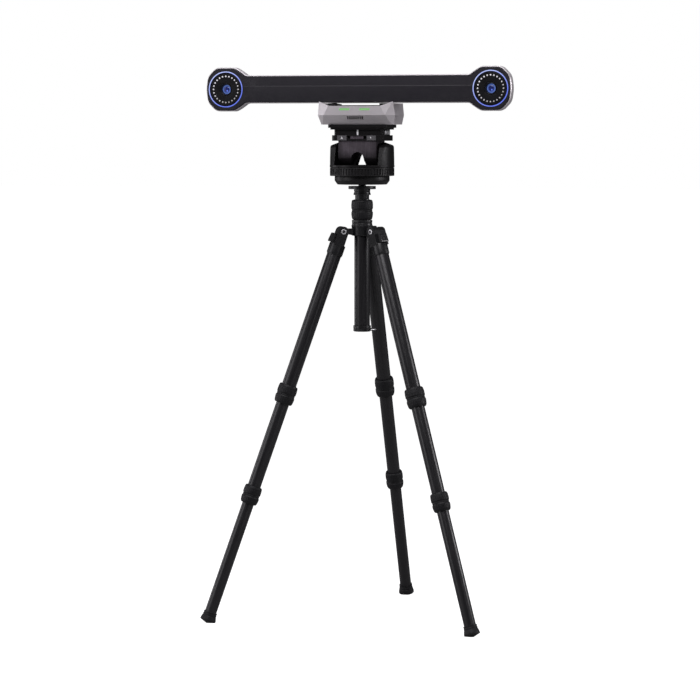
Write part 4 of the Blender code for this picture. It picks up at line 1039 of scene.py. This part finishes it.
def cradle():
    """The housing's lid, with the two arms and posts that carry the bar."""
    low, high = span("cradle_bracket")
    seat = BAR_Z - BAR_HALF - 2.4
    top = low.z + 2.8
    side_view = [(-32, top - 1), (-32, seat), (-18, seat), (11, 951.4), (11, top - 1)]
    added = [prism(side_view, *ends, axis="X") for ends in both(43, 56)]
    added += [block(ends, (-10, 2), (top - 1, high.z)) for ends in both(49.5, 55.5)]
    return combine(prism(grown(mirrored(ROOM), -0.4), low.z, top), joined=added)


def add_mount_block():
    stand_in("mount_block_shell", mount_shell(), "silver", "tracker", bevel=0.7, angle=18, segments=3)
    stand_in("status_light_pipe", light_pipe(), "green", "tracker", bevel=0.2)
    stand_in("power_button", power_button(), "black", "power_button")
    stand_in("main_board", main_board(), "board", "tracker")
    stand_in("cradle_bracket", cradle(), "bracket", "tracker", bevel=0.5)


# ---------------------------------------------------------------- camera bar

# The upper half of a pod's outline, across and up from its lens, and the rear screws' places along the bar.
POD_OUTLINE = ((-42.0, BAR_HALF), (-37.7, 25.3), (-33.5, 28.6), (-24.8, 34.4), (-17.0, 38.7), (19.0, 38.7),
               (34.5, 23.0), (37.5, 0.0))
SCREW_PLACES = (-190, -110, 110, 190)


def bar_outline(growth):
    """The bar with a pod at each end, moved outwards by `growth`, its corners eased."""
    upper = [(LENS_X + out, BAR_Z + up) for out, up in POD_OUTLINE]
    lower = [(x, 2 * BAR_Z - z) for x, z in upper[-2::-1]]
    return rounded(grown(mirrored((upper + lower)[::-1]), growth), 8.0, ring=True, steps=5)


def bar_loft(stations):
    return loft([[(x, depth, z) for x, z in bar_outline(growth)] for depth, growth in stations])


def rear_shell():
    low, high = span("rear_shell")
    front, back = low.y, high.y
    body = bar_loft([(front, 0.6), (front + 0.3, 1.0), (front + 2.0, 2.0), (-18.6, 2.0), (-17.4, 1.7),
                     (7, -6.8), (9, -7.6), (back - 1, -10.6), (back, -11.6)])
    cuts = [bar_loft([(front - 5, 0.35), (-18, 0.35), (8, -9.0), (back - 2.5, -12.0)])]
    cuts += [block(ends, (-10.4, 2.4), (940, 965)) for ends in both(49.1, 55.9)]
    cuts += [rod(2.6, back - 1.2, back + 5, 32, "Y", (x, 0, BAR_Z)) for x in SCREW_PLACES]
    return combine(body, cut=cuts)


def cover():
    low, high = span("front_cover")
    front, back = low.y, high.y
    body = bar_loft([(front, -1.3), (front + 0.35, -0.5), (front + 1.2, 0.0), (back, 0.0)])
    room = bar_loft([(front + 4.5, -2.2), (back + 5, -2.2)])
    top, crease = BAR_Z + BAR_HALF + 2, 984.0
    outline = [(-5, crease), (0, crease), (0.7, crease + 1.2), (2.5, top), (-5, top)]
    lean = loft([[(x, front + depth * (fade if depth > 0 else 1), z) for depth, z in outline]
                 for x, fade in ((-226, 0.02), (-196, 1), (196, 1), (226, 0.02))])
    opening = 33.6
    holes = [rod(opening, -60, 0, 128, "Y", (x, 0, BAR_Z)) for x in (-LENS_X, LENS_X)]
    return combine(body, cut=[room, lean, *holes])


def beam():
    barrel_hole = 11.2
    holes = [rod(barrel_hole, -30, 30, 48, "Y", (x, 0, BAR_Z)) for x in (-LENS_X, LENS_X)]
    return combine(whole("baseline_beam"), cut=holes)


def add_camera(side, x):
    """One pod's light ring with its seat, LED board, LEDs, lens barrel and front glass."""
    def turned_here(profile, segments=128, spot=(x, 0, BAR_Z), ring=True):
        return turned(profile, segments, "Y", spot, ring=ring)

    def limits(part):
        """The part's front and back depths and its radius."""
        low, high = span(f"{side}_{part}")
        return low.y, high.y, (high.x - low.x) / 2

    front, back, outer = limits("light_ring")
    inner, bore = outer - 1.5, outer - 2.6
    ring = rounded([(inner, front), (outer, front), (outer, back), (inner, back)], 0.6, ring=True)
    stand_in(f"{side}_light_ring", turned_here(ring), "ring", "tracker")
    seat = [(bore, front + 0.5), (inner - 0.1, front + 0.5), (inner - 0.1, back), (bore, back)]
    piece(f"{side}_light_ring_seat", turned_here(rounded(seat, 0.3, ring=True)), "navy", "tracker")

    front, back, edge = limits("led_board")
    board = shifted([(11.4, 0.8), (12.2, 0), (edge - 1.0, 0), (edge, 0.6)], 0, front)
    board += [(edge, back), (11.4, back)]
    stand_in(f"{side}_led_board", turned_here(rounded(board, 0.3, ring=True)), "bezel", "tracker")
    dome = shifted([(0, -0.9), (0.8, -0.8), (1.3, -0.4), (1.5, 0.2), (0, 0.2)], 0, front)
    # Painted shade: a dark matte ring round each LED stands in for the shadow in the gap round it.
    gap_shade_profile = shifted([(1.75, -0.3), (2.3, -0.3), (2.3, 0.2), (1.75, 0.2)], 0, front)
    led_circle, led_count = 24.3, 24
    places = arc((x, BAR_Z), led_circle, 0, 360, led_count)[:-1]
    spots = [(along, 0, up) for along, up in places]
    piece(f"{side}_leds", merged([turned_here(dome, 16, spot, False) for spot in spots]), "led", "tracker")
    gap_shade_rings = merged([turned_here(gap_shade_profile, 20, spot) for spot in spots])
    piece(f"{side}_led_gap_shade", gap_shade_rings, "gap", "tracker")

    glass_front, glass_back, glass_radius = limits("lens_glass")
    front, back, radius = limits("lens_barrel")
    profile = [(radius - 0.6, front)]
    r, y = radius - 1.2, front + 0.5
    while y < glass_front - 0.3:
        profile += [(r, y), (r, y + 1.0)]
        r, y = max(r - 0.35, 8.8), y + 1.3
    profile += [(8.9, glass_front + 1), (8.9, back), (radius, back), (radius, front + 0.4)]
    stand_in(f"{side}_lens_barrel", turned_here(rounded(profile, 0.12, ring=True), 72), "bezel", "tracker")
    crown_y, rise = glass_front - 3.5, 3.4
    dome = [(glass_radius * math.sin(a), crown_y + rise * (1 - math.cos(a)))
            for a in (math.radians(9 * k) for k in range(11))]
    dome += [(glass_radius, glass_back + 1.5), (0, glass_back + 1.5)]
    stand_in(f"{side}_lens_glass", turned_here(dome, 72, ring=False), "lens", "tracker")


def add_bar():
    stand_in("baseline_beam", beam(), "beam", "tracker", bevel=0.5)
    stand_in("rear_shell", rear_shell(), "shell", "tracker", bevel=0.5, angle=20)
    stand_in("front_cover", cover(), "cover", "tracker", bevel=0.3, angle=20)
    back = span("rear_shell")[1].y
    screws = [rod(2.3, back - 1.5, back - 0.6, 32, "Y", (x, 0, BAR_Z), 0.2) for x in SCREW_PLACES]
    piece("rear_shell_screws", merged(screws), "steel", "tracker")
    add_camera("left", -LENS_X)
    add_camera("right", LENS_X)


# ---------------------------------------------------------------- floor, light and camera

def add_stage():
    """A wide floor that the camera sees as white and the object as mid grey."""
    edge = 40
    mesh = bpy.data.meshes.new("floor")
    corners = [(-edge, -edge, 0), (edge, -edge, 0), (edge, edge, 0), (-edge, edge, 0)]
    mesh.from_pydata(corners, [], [(0, 1, 2, 3)])
    nodes = Nodes("floor_white", Roughness=0.9, Specular_IOR_Level=0.1, Emission_Color=(1, 1, 1, 1))
    seen = nodes.add("ShaderNodeLightPath").outputs["Is Camera Ray"]
    nodes.feed(seen, nodes.shader.inputs["Emission Strength"])
    mesh.materials.append(nodes.finish((0.36, 0.36, 0.36)))
    linked(mesh, "floor")


def add_world():
    """White to the camera, and a dimmer even light on the object."""
    world = bpy.data.worlds.new("studio")
    bpy.context.scene.world = world
    world.use_nodes = True
    nodes, links = world.node_tree.nodes, world.node_tree.links
    nodes.clear()
    output, mix = nodes.new("ShaderNodeOutputWorld"), nodes.new("ShaderNodeMixShader")
    seen = nodes.new("ShaderNodeLightPath").outputs["Is Camera Ray"]
    links.new(seen, mix.inputs[0])
    for socket, colour, strength in ((1, (0.97, 0.98, 1, 1), 0.06), (2, (1, 1, 1, 1), 1.0)):
        light = nodes.new("ShaderNodeBackground")
        light.inputs["Color"].default_value = colour
        light.inputs["Strength"].default_value = strength
        links.new(light.outputs[0], mix.inputs[socket])
    links.new(mix.outputs[0], output.inputs["Surface"])


def add_light(name, place, target, size, power):
    lamp = bpy.data.lights.new(name, "AREA")
    lamp.shape = "RECTANGLE"
    lamp.size, lamp.size_y = size
    lamp.energy = power
    lamp.color = (1.0, 0.98, 1.015)
    obj = linked(lamp, name)
    obj.location = place
    obj.rotation_euler = (Vector(target) - Vector(place)).to_track_quat("-Z", "Y").to_euler()


def add_lights():
    middle = (0, 0, 0.6)
    add_light("key_left", (-2.5, -2.1, 1.0), middle, (1.5, 3.0), 36)
    add_light("front_high", (0.2, -2.6, 2.7), (0, 0, 0.9), (2.0, 1.0), 44)
    add_light("side_right", (3.1, 0.6, 1.25), (0, 0, 1.0), (1.0, 0.7), 30)
    add_light("strip_right", (2.7, -1.9, 0.5), (0, 0, 0.4), (0.7, 1.8), 6)
    add_light("top", (0, -0.6, 3.0), middle, (3.0, 2.4), 50)
    add_light("rim_left", (-2.7, 0.3, 0.5), (0, 0, 0.3), (0.9, 1.6), 11)


def add_camera_view():
    """The photo's camera, solved from the feet, the locks and the bar; its focal length is in pixels."""
    azimuth, pitch, focal, photo_width = math.radians(17.617), math.radians(4.249), 2935.5, 700
    lens = bpy.data.cameras.new("view")
    lens.sensor_width = 36
    lens.lens = lens.sensor_width * focal / photo_width
    lens.clip_end = 50
    camera = linked(lens, "view")
    camera.location = HEAD @ Vector((1628.1, -5201.6, 900.1))
    camera.rotation_euler = (math.pi / 2 - pitch, 0, azimuth)
    bpy.context.scene.camera = camera


bpy.context.scene.view_settings.view_transform = "Standard"
for leg_name in LEGS:
    add_leg(leg_name)
add_column()
add_head()
add_mount_block()
add_bar()
add_stage()
add_world()
add_lights()
add_camera_view()
